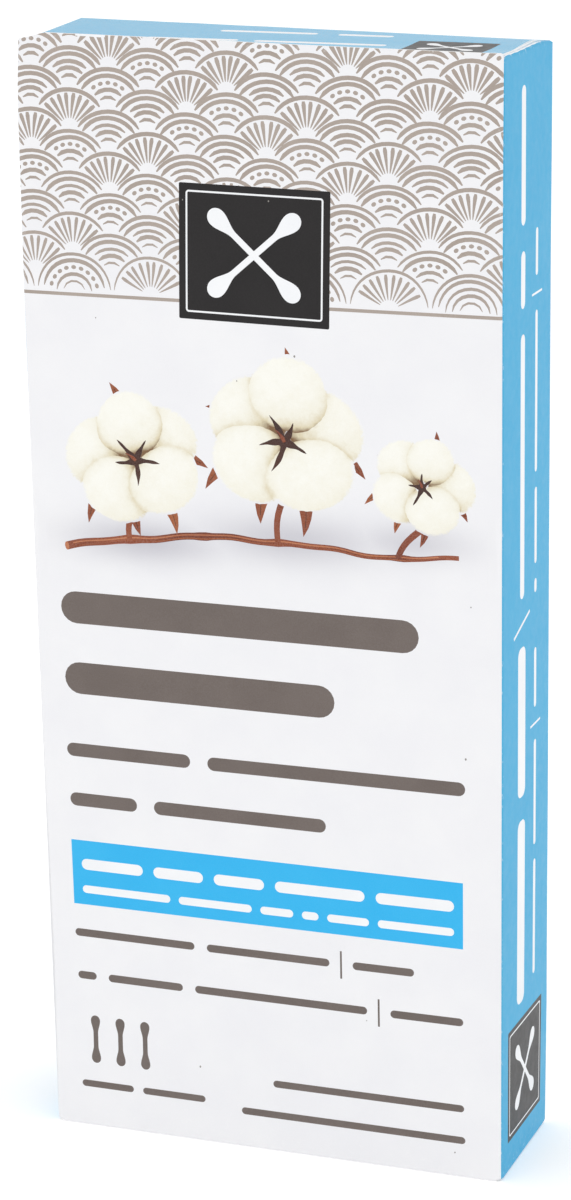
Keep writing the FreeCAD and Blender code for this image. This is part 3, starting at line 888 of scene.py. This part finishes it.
def board(name, col, deep=None, rough=(0.36, 0.46), wear_to=(246, 246, 246), wear=0.0, tone=None, spec=0.5, fibre=0.05, relief=0.08):
    """Clay-coated paperboard with printed ink: cloudy ink, paper grain, satin gloss, worn folds."""
    N = Nodes(name)
    vec = N.attr("lay", True)
    c = lin(col)
    d = lin(deep) if deep else tuple(x * 0.955 for x in c[:3]) + (1.0,)
    cloud = N.noise(vec, 0.09, 3.0, 0.55)
    grain = N.noise(vec, 5.5, 2.0, 0.6)
    mixc = N.mix(N.mapr(cloud, 0.35, 0.65, 0.0, 1.0), c, d)
    if tone:
        tv = N.attr("tone")
        fuzz = N.noise(vec, 0.85, 6.0, 0.72)
        tv = N.math("ADD", tv, N.math("MULTIPLY", N.math("SUBTRACT", fuzz, 0.5), tone[2]))
        ramp = N.new("ShaderNodeValToRGB")
        ramp.color_ramp.elements[0].color = lin(tone[0][0])
        ramp.color_ramp.elements[1].color = lin(tone[0][-1])
        for k, cc in enumerate(tone[0][1:-1]):
            el = ramp.color_ramp.elements.new((k + 1) / (len(tone[0]) - 1))
            el.color = lin(cc)
        N.link(tv, ramp.inputs[0])
        if name == "cotton_print":
            # the rim melts into the paper in a fine fluff
            fluff = N.noise(vec, 1.7, 5.0, 0.75)
            k = N.math("ADD", N.attr("fade"), N.math("MULTIPLY", N.math("SUBTRACT", fluff, 0.5), 1.1))
            sheet = N.mix(N.attr("under"), lin((235, 235, 237)), lin((158, 155, 168)))
            mixc = N.mix(N.mapr(k, 0.18, 0.62, 0.0, 1.0, True), sheet, ramp.outputs[0])
        elif tone[1]:
            mixc = N.mix(N.mapr(N.attr("tone"), 0.0, 1.0, 0.0, 1.0), mixc, lin(tone[0][-1]))
        else:
            mixc = ramp.outputs[0]
    gr = N.mapr(grain, 0.3, 0.7, -fibre, fibre)
    bright = N.new("ShaderNodeBrightContrast")
    N.link(mixc, bright.inputs[0])
    N.link(gr, bright.inputs["Bright"])
    colour = bright.outputs[0]
    if wear:
        wa = N.attr("wear")
        wn = N.noise(vec, 1.1, 3.0, 0.65)
        k = N.math("MULTIPLY", wa, N.mapr(wn, 0.56, 0.68, 0.0, wear, True))
        colour = N.mix(k, colour, lin(wear_to))
    N.link(colour, N.b.inputs["Base Color"])
    N.link(N.mapr(N.noise(vec, 0.7, 3.0, 0.6), 0.3, 0.7, rough[0], rough[1]), N.b.inputs["Roughness"])
    N.b.inputs["Specular IOR Level"].default_value = spec
    if relief:
        hgt = N.math("ADD", N.math("MULTIPLY", N.noise(vec, 2.2, 3.0, 0.6), 0.7), N.math("MULTIPLY", grain, 0.3))
        N.bump(hgt, relief, 0.00005)
    MATS[name] = N.m
    return N


board("paper", (236, 236, 238), (233, 233, 236), wear=0.25, tone=([(236, 236, 238), (158, 155, 168)], True, 0.0), fibre=0.006)
board("taupe", (164, 152, 143), (171, 159, 150), fibre=0.02, wear=0.35, spec=0.35)
board("ink", (104, 94, 89), (110, 100, 95), fibre=0.012, spec=0.35)
board("blue_side", (38, 165, 212), (44, 167, 213), wear=0.3, fibre=0.002, spec=0.3, relief=0.03)
board("blue_lid", (56, 168, 212), (64, 171, 212), wear=0.25, rough=(0.19, 0.24), fibre=0.002, spec=0.25, relief=0)
board("blue_band", (40, 176, 233), (46, 179, 234), fibre=0.006, spec=0.35)
board("charcoal", (24, 21, 22), (28, 25, 26), rough=(0.34, 0.42), fibre=0.002, wear=0.2, spec=0.3)
board("white_ink", (240, 241, 243), (235, 237, 240), fibre=0.006)
board("husk", (122, 62, 46), (158, 92, 58), fibre=0.04, spec=0.35)
board("husk_dark", (62, 40, 34), (80, 48, 38), fibre=0.02, spec=0.35)
board("twig", (150, 84, 58), (118, 62, 44), fibre=0.04, spec=0.35)
board("twig_light", (190, 124, 88), (176, 108, 74), fibre=0.03, spec=0.35)
# pale blue: rubbed print along the lid's fold, and painted sheen at the lid's right end
board("scuff", (178, 206, 221), (205, 220, 229), fibre=0.03)
board("speck", (150, 145, 140), (120, 116, 112), fibre=0.02)
board("cotton_print", (240, 238, 228), tone=([(243, 242, 234), (236, 233, 219), (215, 204, 174), (122, 92, 62)], False, 0.46), fibre=0.012, spec=0.35)


def raw_board(name, col, deep, rough, scale):
    """Uncoated pulp: coarse fibre clouds, matt."""
    N = Nodes(name)
    vec = N.attr("lay", True)
    f = N.noise(vec, scale, 4.0, 0.65)
    g = N.noise(vec, scale * 6, 2.0, 0.6)
    c = N.mix(N.mapr(f, 0.35, 0.65, 0, 1), lin(col), lin(deep))
    c = N.mix(N.mapr(g, 0.62, 0.75, 0, 0.35), c, lin(tuple(int(v * 0.86) for v in col)))
    N.link(c, N.b.inputs["Base Color"])
    N.link(N.mapr(f, 0.3, 0.7, rough, rough + 0.12), N.b.inputs["Roughness"])
    N.b.inputs["Specular IOR Level"].default_value = 0.3
    N.bump(g, 0.35, 0.0001)
    MATS[name] = N.m


raw_board("board_inside", (226, 223, 215), (214, 210, 200), 0.78, 0.6)
raw_board("raw_edge", (252, 252, 252), (246, 246, 245), 0.72, 1.4)

SHEET_MATS = ["paper", "taupe", "ink", "blue_side", "blue_lid", "blue_band", "charcoal", "white_ink", "husk", "husk_dark",
              "twig", "twig_light", "scuff", "speck", "cotton_print", "board_inside", "raw_edge"]


# --------------------------------------------------------------------------
# carton
# --------------------------------------------------------------------------
def carton_outline():
    top_front = [(38.8, 183.03), (35.85, 183.01), (31.0, 183.07), (19.0, 183.19), (7.2, 183.35), (-4.0, 183.56), (-15.6, 183.77),
                 (-26.0, 183.92), (-33.6, 184.02), (-34.61, 184.04), (-35.6, 183.86), (-37.2, 183.44), (-38.8, 183.06)]
    o = []
    # bottom edge, left to right
    o += [(S_FREE, 0.62)]
    o += [(s_left(12.1), 0.5), (s_left(11.6), -3.0), (s_left(10.4), -16.5), (s_left(9.4), -17.6), (s_left(-9.4), -17.6),
          (s_left(-10.4), -16.5), (s_left(-11.6), -3.0), (s_left(-11.9), 0.5)]
    o += [(-S_FR1, 0.49), (-S_FR0, 0.40)]
    o += [(-38.5, 0.34), (-38.35, -1.0), (-38.1, -23.4), (-37.2, -24.5), (37.2, -24.5), (38.1, -23.4), (38.35, -1.0), (38.5, 0.34)]
    o += [(S_FR0, 0.40), (S_FR1, 0.49)]
    o += [(s_right(-11.9), 0.5), (s_right(-11.6), -3.0), (s_right(-10.4), -16.5), (s_right(-9.4), -17.6), (s_right(9.4), -17.6),
          (s_right(10.4), -16.5), (s_right(11.6), -3.0), (s_right(11.9), 0.5)]
    o += [(S_BR0, 0.52), (S_BR1, 0.80)]
    o += [(s_back(38.4), 0.76), (s_back(38.2), -1.0), (s_back(37.9), -23.0), (s_back(-37.9), -23.0), (s_back(-38.0), -1.0), (s_back(-38.2), 0.76)]
    o += [(S_BL0, 0.80), (S_BL1, 0.9), (S_BL1 + 0.6, 1.6), (S_BL1 + 2.6, 4.2), (S_TAB, 9.5)]
    # top edge, right to left
    o += [(S_TAB, 171.0), (S_BL1 + 2.6, 176.0), (S_BL1 + 0.6, 179.6), (S_BL1, 180.6)]
    o += [(S_BL0, float(crease_z(-38.4)) - RC - WALL), (S_BR1, float(crease_z(38.8)) - RC - WALL)]
    o += [(S_BR1 - 0.02, 181.42), (S_BR0 + A / 2, 181.56), (S_BR0, 181.60)]

    def dust(sf, top, mirror):
        pts = [(12.05, 0.5 if not mirror else 0.0), (11.95, 3.0), (11.7, 15.5)]
        pts += [(11.7 - 4 + 4 * math.cos(a), 16.0 + 4 * math.sin(a)) for a in np.linspace(0.15, math.pi / 2, 6)]
        pts += [(-9.6 + 5 - 5 * math.cos(a), 15.0 + 5 * math.sin(a)) for a in np.linspace(math.pi / 2, 0.1, 7)]
        pts += [(-9.9, 8.0), (-10.4, 1.45), (-10.7, 1.12), (-11.5, 0.72), (-11.95, 0.48)]
        out = []
        for y, up_ in pts:
            base = float(top(y)) - R_TOP
            out.append((sf(y), base + up_))
        return out if not mirror else out[::-1]

    o += dust(s_right, right_top, False)
    o += [(S_FR1, 182.50), (S_FR0 + A * 0.72, 182.70), (S_FR0 + A * 0.45, 182.92)]
    o += top_front
    o += [(-S_FR0 - A * 0.45, 182.98), (-S_FR0 - A * 0.75, 182.80), (-S_FR1, 182.60)]
    o += dust(s_left, left_top, True)
    o += [(s_left(12.15), 182.25), (S_FREE, 182.1)]
    # drop repeated points, and give the long upright edges points enough to bow with the walls
    out = []
    for p in o + [o[0]]:
        if out:
            a, b = out[-1]
            if math.hypot(p[0] - a, p[1] - b) < 1e-3:
                continue
            if abs(p[0] - a) < 3 and abs(p[1] - b) > 8:
                n = int(abs(p[1] - b) / 6.0)
                out += [(a + (p[0] - a) * k / n, b + (p[1] - b) * k / n) for k in range(1, n)]
        out.append(p)
    return out[:-1]


def uprights():
    """Lines and points that let the sheet bend: at every fold and across the walls."""
    lines, points = [], []
    zs = np.concatenate([[0.5], np.arange(4, 181, 6.0), [181.0, 182.0]])
    for s0, s1 in ((S_FR0, S_FR1), (S_BR0, S_BR1), (S_BL0, S_BL1), (-S_FR1, -S_FR0)):
        for k in range(7):
            s = s0 + (s1 - s0) * k / 6
            lines.append([(s, z) for z in zs])
        for off in (-1.6, -0.45, 0.45, 1.6):
            s = (s0 if off < 0 else s1) + off
            lines.append([(s, z) for z in zs])
    # rolled folds at top and foot
    for k in range(9):
        u = R_TOP * math.radians(112) * k / 8
        lines.append([(s_right(y), float(right_top(y)) - R_TOP + u) for y in np.linspace(-12.1, 12.1, 19)])
        lines.append([(s_left(y), float(left_top(y)) - R_TOP + u) for y in np.linspace(-12.1, 12.1, 19)])
    for u in (-1.2, -0.4, 2.3, 2.5, 2.7, 2.9, 8.0, 14.0):
        lines.append([(s_right(y), float(right_top(y)) - R_TOP + u) for y in np.linspace(-12.1, 12.1, 19)])
        lines.append([(s_left(y), float(left_top(y)) - R_TOP + u) for y in np.linspace(-12.1, 12.1, 19)])
    for sg in (s_right, s_left):
        for u in [R_BOT * math.radians(110) * k / 5 for k in range(6)] + [1.9, 2.0, 2.1, 2.2, 2.3, 8.0]:
            lines.append([(sg(y), 0.12 + R_BOT - u) for y in np.linspace(-12.0, 12.1, 6)])
    for u in [R_BOT * math.pi / 2 * k / 6 for k in range(7)] + [2.0, 9.0, 17.0]:
        lines.append([(x, R_BOT - u) for x in np.linspace(-38.7, 38.7, 12)])
        lines.append([(s_back(x), 0.42 + R_BOT - u) for x in np.linspace(38.7, -38.3, 12)])
    for z in np.arange(7, 181, 6.0):
        for x in np.arange(-35, 36, 7.0):
            points.append((x, z))
            points.append((s_back(x), z))
        for y in (-8, -4, 0, 4, 8):
            points.append((s_right(y), z))
            points.append((s_left(y), z))
    # finer under the picture, whose shading is carried by the mesh
    for z in np.arange(98, 137, 0.95):
        for x in np.arange(-37, 38, 0.95):
            points.append((x + 0.3 * math.sin(z * 5.1), z + 0.3 * math.sin(x * 4.3)))
    # a line just inside the front's cut edge
    lines.append([(x, z - 0.35) for x, z in [(38.4, 183.03), (31.0, 183.07), (19.0, 183.19), (7.2, 183.35), (-4.0, 183.56), (-15.6, 183.77), (-26.0, 183.92), (-34.4, 184.02), (-38.4, 183.1)]])
    return lines, points


def carton_wear(V):
    s, v = V[:, 0], V[:, 1]
    w = np.zeros(len(s))
    inwall = (v > 0) & (v < 184.5)
    for s0, s1 in ((S_FR0, S_FR1), (S_BR0, S_BR1), (-S_FR1, -S_FR0), (S_BL0, S_BL1)):
        mid, half = (s0 + s1) / 2, (s1 - s0) / 2
        w = np.maximum(w, np.where(inwall, np.clip(1.25 - np.abs(s - mid) / (half + 0.25), 0, 1), 0))
    side = (np.abs(s) > S_FR1) & (s < S_BR0)
    top = np.where(s > 0, right_top(s - S_FR1 - HY + R), left_top(-s - S_FR1 - HY + R)) - R_TOP + 0.5
    w = np.maximum(w, np.where(side, np.clip(1.2 - np.abs(v - top) / 0.7, 0, 1), 0))
    w = np.maximum(w, np.clip(1.0 - np.abs(v - 0.2) / 0.8, 0, 1))
    w = np.maximum(w, np.where((np.abs(s) < S_FR0) & (v > 182.6), 0.8, 0))
    return w


lay = Layout()
front_print(lay)
back_print(lay)
lay.add("blue_side", rrect(S_FR0 + 0.58, -2.6, S_BR0 + 0.45, 186.6))
lay.add("blue_side", rrect(S_FREE - 0.5, -2.6, -S_FR0 - 0.58, 186.6))
side_print(lay, lambda y, z: (s_right(y), z))
side_print(lay, lambda y, z: (s_left(-y), z))
# the coating is cracked white along the right panel's top fold
crack = np.linspace(-12.1, 7.8, 40)
thin = np.clip((7.8 - crack) / 3.0, 0.12, 1) * np.clip((crack + 12.9) / 1.6, 0.3, 1)
lay.add("white_ink", [(s_right(y), float(right_top(y)) - R_TOP + 0.66 - t * (0.08 + 0.04 * math.sin(2.1 * y))) for y, t in zip(crack, thin)]
        + [(s_right(y), float(right_top(y)) - R_TOP + 0.66 + t * (0.40 + 0.03 * math.sin(1.3 * y + 1.0))) for y, t in zip(crack[::-1], thin[::-1])])
bend_lines, bend_points = uprights()
V, F, inks = cut(carton_outline(), lay.items, bend_lines, bend_points)
carton = sheet_mesh("carton_board", V, F, inks, fold_carton, SHEET_MATS, carton_wear, True)
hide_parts("carton")
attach(carton, "carton")
print("carton triangles", len(carton.data.polygons))

# --------------------------------------------------------------------------
# lid
# --------------------------------------------------------------------------
lid_lay = Layout()
lid_lay.add("blue_lid", rrect(-40, -(W_TONGUE + 3.2), 40, 2.0))
lid_print(lid_lay)
# the print is rubbed pale along the fold
rub = np.linspace(-38.9, 38.9, 70)
lid_lay.add("scuff", [(x, -0.52 - 0.05 * math.sin(1.9 * x) - 0.05 * math.sin(0.73 * x + 1.0)) for x in rub]
            + [(x, 0.24 + 0.05 * math.sin(2.3 * x + 0.5) + 0.05 * math.sin(0.61 * x)) for x in rub[::-1]])
outline = [(-32.1, -W_TIP), (32.1, -W_TIP)]
outline += [(32.1 + 6 * math.sin(a), -W_TIP + 6 - 6 * math.cos(a)) for a in np.linspace(0.2, math.pi / 2, 7)]
outline += [(38.35, -W_TONGUE), (38.7, -W_TUCK + 0.2), (38.7, -W_PLATE - 0.3), (38.75, WALL), (-38.75, WALL), (-38.7, -W_PLATE - 0.3),
            (-38.7, -W_TUCK + 0.2), (-38.35, -W_TONGUE)]
outline += [(-32.1 - 6 * math.sin(a), -W_TIP + 6 - 6 * math.cos(a)) for a in np.linspace(math.pi / 2, 0.2, 7)]
lines = []
xs = np.linspace(-38.9, 38.9, 27)
for w in ([-WALL * 0.66, -WALL * 0.33] + [W_PLATE * k / 6 for k in range(7)] + [W_PLATE + 0.3 * k for k in range(1, 8)]
          + [W_PLATE + 2.7 + 0.9 * k for k in range(23)] + [W_TUCK + R_TUCK * TUCK * k / 10 for k in range(11)]
          + [W_TONGUE + 2.5 * k for k in range(1, 5)]):
    lines.append([(x, -w) for x in xs])
points = []


def lid_wear(V):
    x, w = V[:, 0], -V[:, 1]
    a = np.clip(1.2 - np.abs(w - W_PLATE / 2) / 0.8, 0, 1)
    b = np.clip(1.2 - np.abs(w - (W_TUCK + R_TUCK * TUCK / 2)) / 1.6, 0, 1)
    c = np.where((np.abs(x) > 38.2) & (w < W_TUCK), 0.7, 0)
    return np.maximum(np.maximum(a, b), c)


V, F, inks = cut(outline, lid_lay.items, lines + [[(sx, y) for y in np.linspace(-W_TUCK, 0.8, 20)] for sx in (-38.3, 38.3)], points)
lid = sheet_mesh("top_lid", V, F, inks, fold_lid, SHEET_MATS, lid_wear)
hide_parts("top_flap")
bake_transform(lid)
print("lid triangles", len(lid.data.polygons))

# --------------------------------------------------------------------------
# swabs
# --------------------------------------------------------------------------
ROWS = [(k, 5 if k % 2 == 0 else 4) for k in range(40)]
SPOTS = []
for k, count in ROWS:
    z = 3.58 + 4.07 * k
    for i in range(count):
        SPOTS.append(((i - (count - 1) / 2) * 4.8, z))


def sticks():
    seg, xs = 14, np.array([-36.5, -30, -24.0, -8, 8, 24.0, 30, 36.5])
    ang = np.linspace(0, 2 * math.pi, seg, endpoint=False)
    verts, faces, along = [], [], []
    g = np.random.default_rng(31)
    for y, z in SPOTS:
        k = len(verts)
        ph = g.uniform(0, 6.28)
        bow = g.uniform(-0.12, 0.12, 2)
        for x in xs:
            q = 1 - (x / 36.5) ** 2
            for a in ang:
                verts.append((x * MM, (y + bow[0] * q + 1.2 * math.cos(a)) * MM, (z + bow[1] * q + 1.2 * math.sin(a)) * MM))
                along.append((x, a + ph, ph))
        for j in range(len(xs) - 1):
            for i in range(seg):
                a0 = k + j * seg + i
                a1 = k + j * seg + (i + 1) % seg
                faces.append((a0, a0 + seg, a1 + seg, a1))
        faces.append(tuple(k + i for i in range(seg)))
        e = k + (len(xs) - 1) * seg
        faces.append(tuple(e + i for i in reversed(range(seg))))
    me = bpy.data.meshes.new("swab_sticks_paper")
    me.from_pydata(verts, [], [f[::-1] for f in faces])
    me.polygons.foreach_set("use_smooth", [len(f) == 4 for f in faces])
    at = me.attributes.new("roll", "FLOAT_VECTOR", "POINT")
    at.data.foreach_set("vector", np.array(along, np.float32).ravel())
    N = Nodes("rolled_paper")
    sep = N.new("ShaderNodeSeparateXYZ")
    N.link(N.attr("roll", True), sep.inputs[0])
    # the paper's edge winds round the stick in a long spiral
    ph = N.math("FRACT", N.math("ADD", N.math("MULTIPLY", sep.outputs[0], 0.045), N.math("MULTIPLY", sep.outputs[1], 0.159155)))
    seam = N.math("ABSOLUTE", N.math("SUBTRACT", ph, 0.5))
    line = N.mapr(seam, 0.0, 0.035, 1.0, 0.0, True)
    tc = N.new("ShaderNodeTexCoord")
    mp = N.new("ShaderNodeMapping")
    mp.inputs["Scale"].default_value = (300, 1500, 1500)
    N.link(tc.outputs["Object"], mp.inputs[0])
    fib = N.noise(mp.outputs[0], 1.0, 3.0, 0.6)
    c = N.mix(N.mapr(fib, 0.35, 0.65, 0, 1), lin((246, 246, 243)), lin((232, 231, 226)))
    c = N.mix(N.math("MULTIPLY", line, 0.5), c, lin((205, 203, 196)))
    N.link(c, N.b.inputs["Base Color"])
    N.link(N.mapr(fib, 0.3, 0.7, 0.5, 0.62), N.b.inputs["Roughness"])
    N.bump(N.math("SUBTRACT", fib, line), 0.3, 0.00006)
    me.materials.append(N.m)
    ob = bpy.data.objects.new("swab_sticks_paper", me)
    bpy.context.scene.collection.objects.link(ob)
    return ob


def buds():
    seg = 16
    us = np.array([0.0, 0.5, 1.3, 2.6, 4.2, 6.0, 7.8, 9.4, 10.8, 11.9, 12.8, 13.4, 13.8])
    rs = np.array([1.30, 1.52, 1.66, 1.86, 2.06, 2.22, 2.31, 2.33, 2.24, 2.02, 1.64, 1.18, 0.66])
    ang = np.linspace(0, 2 * math.pi, seg, endpoint=False)
    g = np.random.default_rng(57)
    verts, faces, idv = [], [], []
    nr = len(us)
    for y, z in SPOTS:
        for sg in (-1, 1):
            k = len(verts)
            ph = g.uniform(0, 6.28)
            fat = g.uniform(0.965, 1.0)
            noise = g.uniform(-1, 1, (nr, seg))
            noise = (noise + np.roll(noise, 1, 1) * 0.6 + np.roll(noise, 1, 0) * 0.4) / 1.6
            wind = 0.035 * np.sin(2 * ang[None, :] + us[:, None] * 1.15 + ph)
            r = rs[:, None] * fat * (1 + wind) + 0.055 * noise * np.clip(us[:, None] / 2, 0.15, 1)
            r = np.minimum(r, 2.37)
            seed = g.uniform(0, 100)
            for j in range(nr):
                x = sg * (24.0 + us[j] + (0.04 * g.uniform(-1, 1) if 0 < j < nr - 1 else 0))
                for i in range(seg):
                    verts.append((x * MM, (y + r[j, i] * math.cos(ang[i])) * MM, (z + r[j, i] * math.sin(ang[i])) * MM))
                    idv.append((us[j], ang[i] + ph, seed))
            tip, root = len(verts), len(verts) + 1
            verts.append((sg * 37.98 * MM, y * MM, z * MM))
            idv.append((14.0, ph, seed))
            verts.append((sg * 23.95 * MM, y * MM, z * MM))
            idv.append((0.0, ph, seed))
            fl = []
            for j in range(nr - 1):
                for i in range(seg):
                    a0, a1 = k + j * seg + i, k + j * seg + (i + 1) % seg
                    fl.append((a0, a1, a1 + seg, a0 + seg))
            e = k + (nr - 1) * seg
            for i in range(seg):
                fl.append((e + i, e + (i + 1) % seg, tip))
                fl.append((k + (i + 1) % seg, k + i, root))
            if sg < 0:
                fl = [f[::-1] for f in fl]
            faces.extend(fl)
    me = bpy.data.meshes.new("swab_cotton")
    me.from_pydata(verts, [], faces)
    me.polygons.foreach_set("use_smooth", [True] * len(faces))
    at = me.attributes.new("wad", "FLOAT_VECTOR", "POINT")
    at.data.foreach_set("vector", np.array(idv, np.float32).ravel())
    N = Nodes("wound_cotton")
    tc = N.new("ShaderNodeTexCoord")
    f1 = N.noise(tc.outputs["Object"], 900.0, 5.0, 0.7)
    # fibres laid round the head on a slant
    sep = N.new("ShaderNodeSeparateXYZ")
    N.link(N.attr("wad", True), sep.inputs[0])
    comb = N.new("ShaderNodeCombineXYZ")
    N.link(N.math("ADD", N.math("MULTIPLY", sep.outputs[0], 4.2), N.math("MULTIPLY", sep.outputs[1], 1.2)), comb.inputs[0])
    N.link(N.math("MULTIPLY", sep.outputs[1], 0.5), comb.inputs[1])
    N.link(sep.outputs[2], comb.inputs[2])
    f2 = N.noise(comb.outputs[0], 1.6, 4.0, 0.65)
    f = N.math("ADD", N.math("MULTIPLY", f1, 0.5), N.math("MULTIPLY", f2, 0.5))
    c = N.mix(N.mapr(f, 0.36, 0.62, 0, 1), lin((226, 223, 214)), lin((250, 249, 245)))
    N.link(c, N.b.inputs["Base Color"])
    N.link(N.mapr(f, 0.3, 0.7, 0.86, 0.96), N.b.inputs["Roughness"])
    N.b.inputs["Specular IOR Level"].default_value = 0.15
    N.b.inputs["Sheen Weight"].default_value = 0.35
    N.b.inputs["Sheen Roughness"].default_value = 0.5
    N.bump(f, 0.9, 0.0004)
    me.materials.append(N.m)
    ob = bpy.data.objects.new("swab_cotton", me)
    bpy.context.scene.collection.objects.link(ob)
    return ob


st = sticks()
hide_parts("swab_sticks")
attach(st, "carton")
bd = buds()
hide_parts("cotton_buds")
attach(bd, "carton")

# --------------------------------------------------------------------------
# floor, light
# --------------------------------------------------------------------------
fm = bpy.data.meshes.new("floor")
L = 6.0
fm.from_pydata([(-L, -L, 0), (L, -L, 0), (L, L, 0), (-L, L, 0)], [], [(0, 1, 2, 3)])
floor = bpy.data.objects.new("floor", fm)
bpy.context.scene.collection.objects.link(floor)
N = Nodes("floor_pale")
tc = N.new("ShaderNodeTexCoord")
f = N.noise(tc.outputs["Object"], 3.0, 2.0, 0.5)
N.link(N.mix(f, (0.93, 0.93, 0.93, 1), (0.95, 0.95, 0.95, 1)), N.b.inputs["Base Color"])
N.b.inputs["Roughness"].default_value = 0.9
N.b.inputs["Specular IOR Level"].default_value = 0.1
N.b.inputs["Emission Color"].default_value = (1, 1, 1, 1)
N.b.inputs["Emission Strength"].default_value = 0.21
fm.materials.append(N.m)

world = bpy.context.scene.world or bpy.data.worlds.new("world")
bpy.context.scene.world = world
world.use_nodes = True
wt = world.node_tree
wt.nodes.clear()
bg = wt.nodes.new("ShaderNodeBackground")
bg.inputs[0].default_value = (1.0, 1.0, 1.0, 1.0)
bg.inputs[1].default_value = 0.93
wo = wt.nodes.new("ShaderNodeOutputWorld")
wt.links.new(bg.outputs[0], wo.inputs[0])


def area(name, loc, target, size, power, col=(1, 1, 1)):
    d = bpy.data.lights.new(name, "AREA")
    d.shape = "RECTANGLE"
    d.size, d.size_y = size
    d.energy = power
    d.color = col
    o = bpy.data.objects.new(name, d)
    bpy.context.scene.collection.objects.link(o)
    o.location = loc
    o.rotation_euler = (Vector(target) - Vector(loc)).to_track_quat("-Z", "Y").to_euler()
    return o


area("soft_front", (-0.5, -1.1, 0.7), (0, 0, 0.09), (1.0, 1.0), 0.9)
area("soft_top", (0.1, 0.2, 1.5), (0, 0, 0.1), (1.6, 1.6), 2.5)

vs = bpy.context.scene.view_settings
vs.view_transform = "Standard"
vs.look = "None"
vs.exposure = 0.0
vs.gamma = 1.0
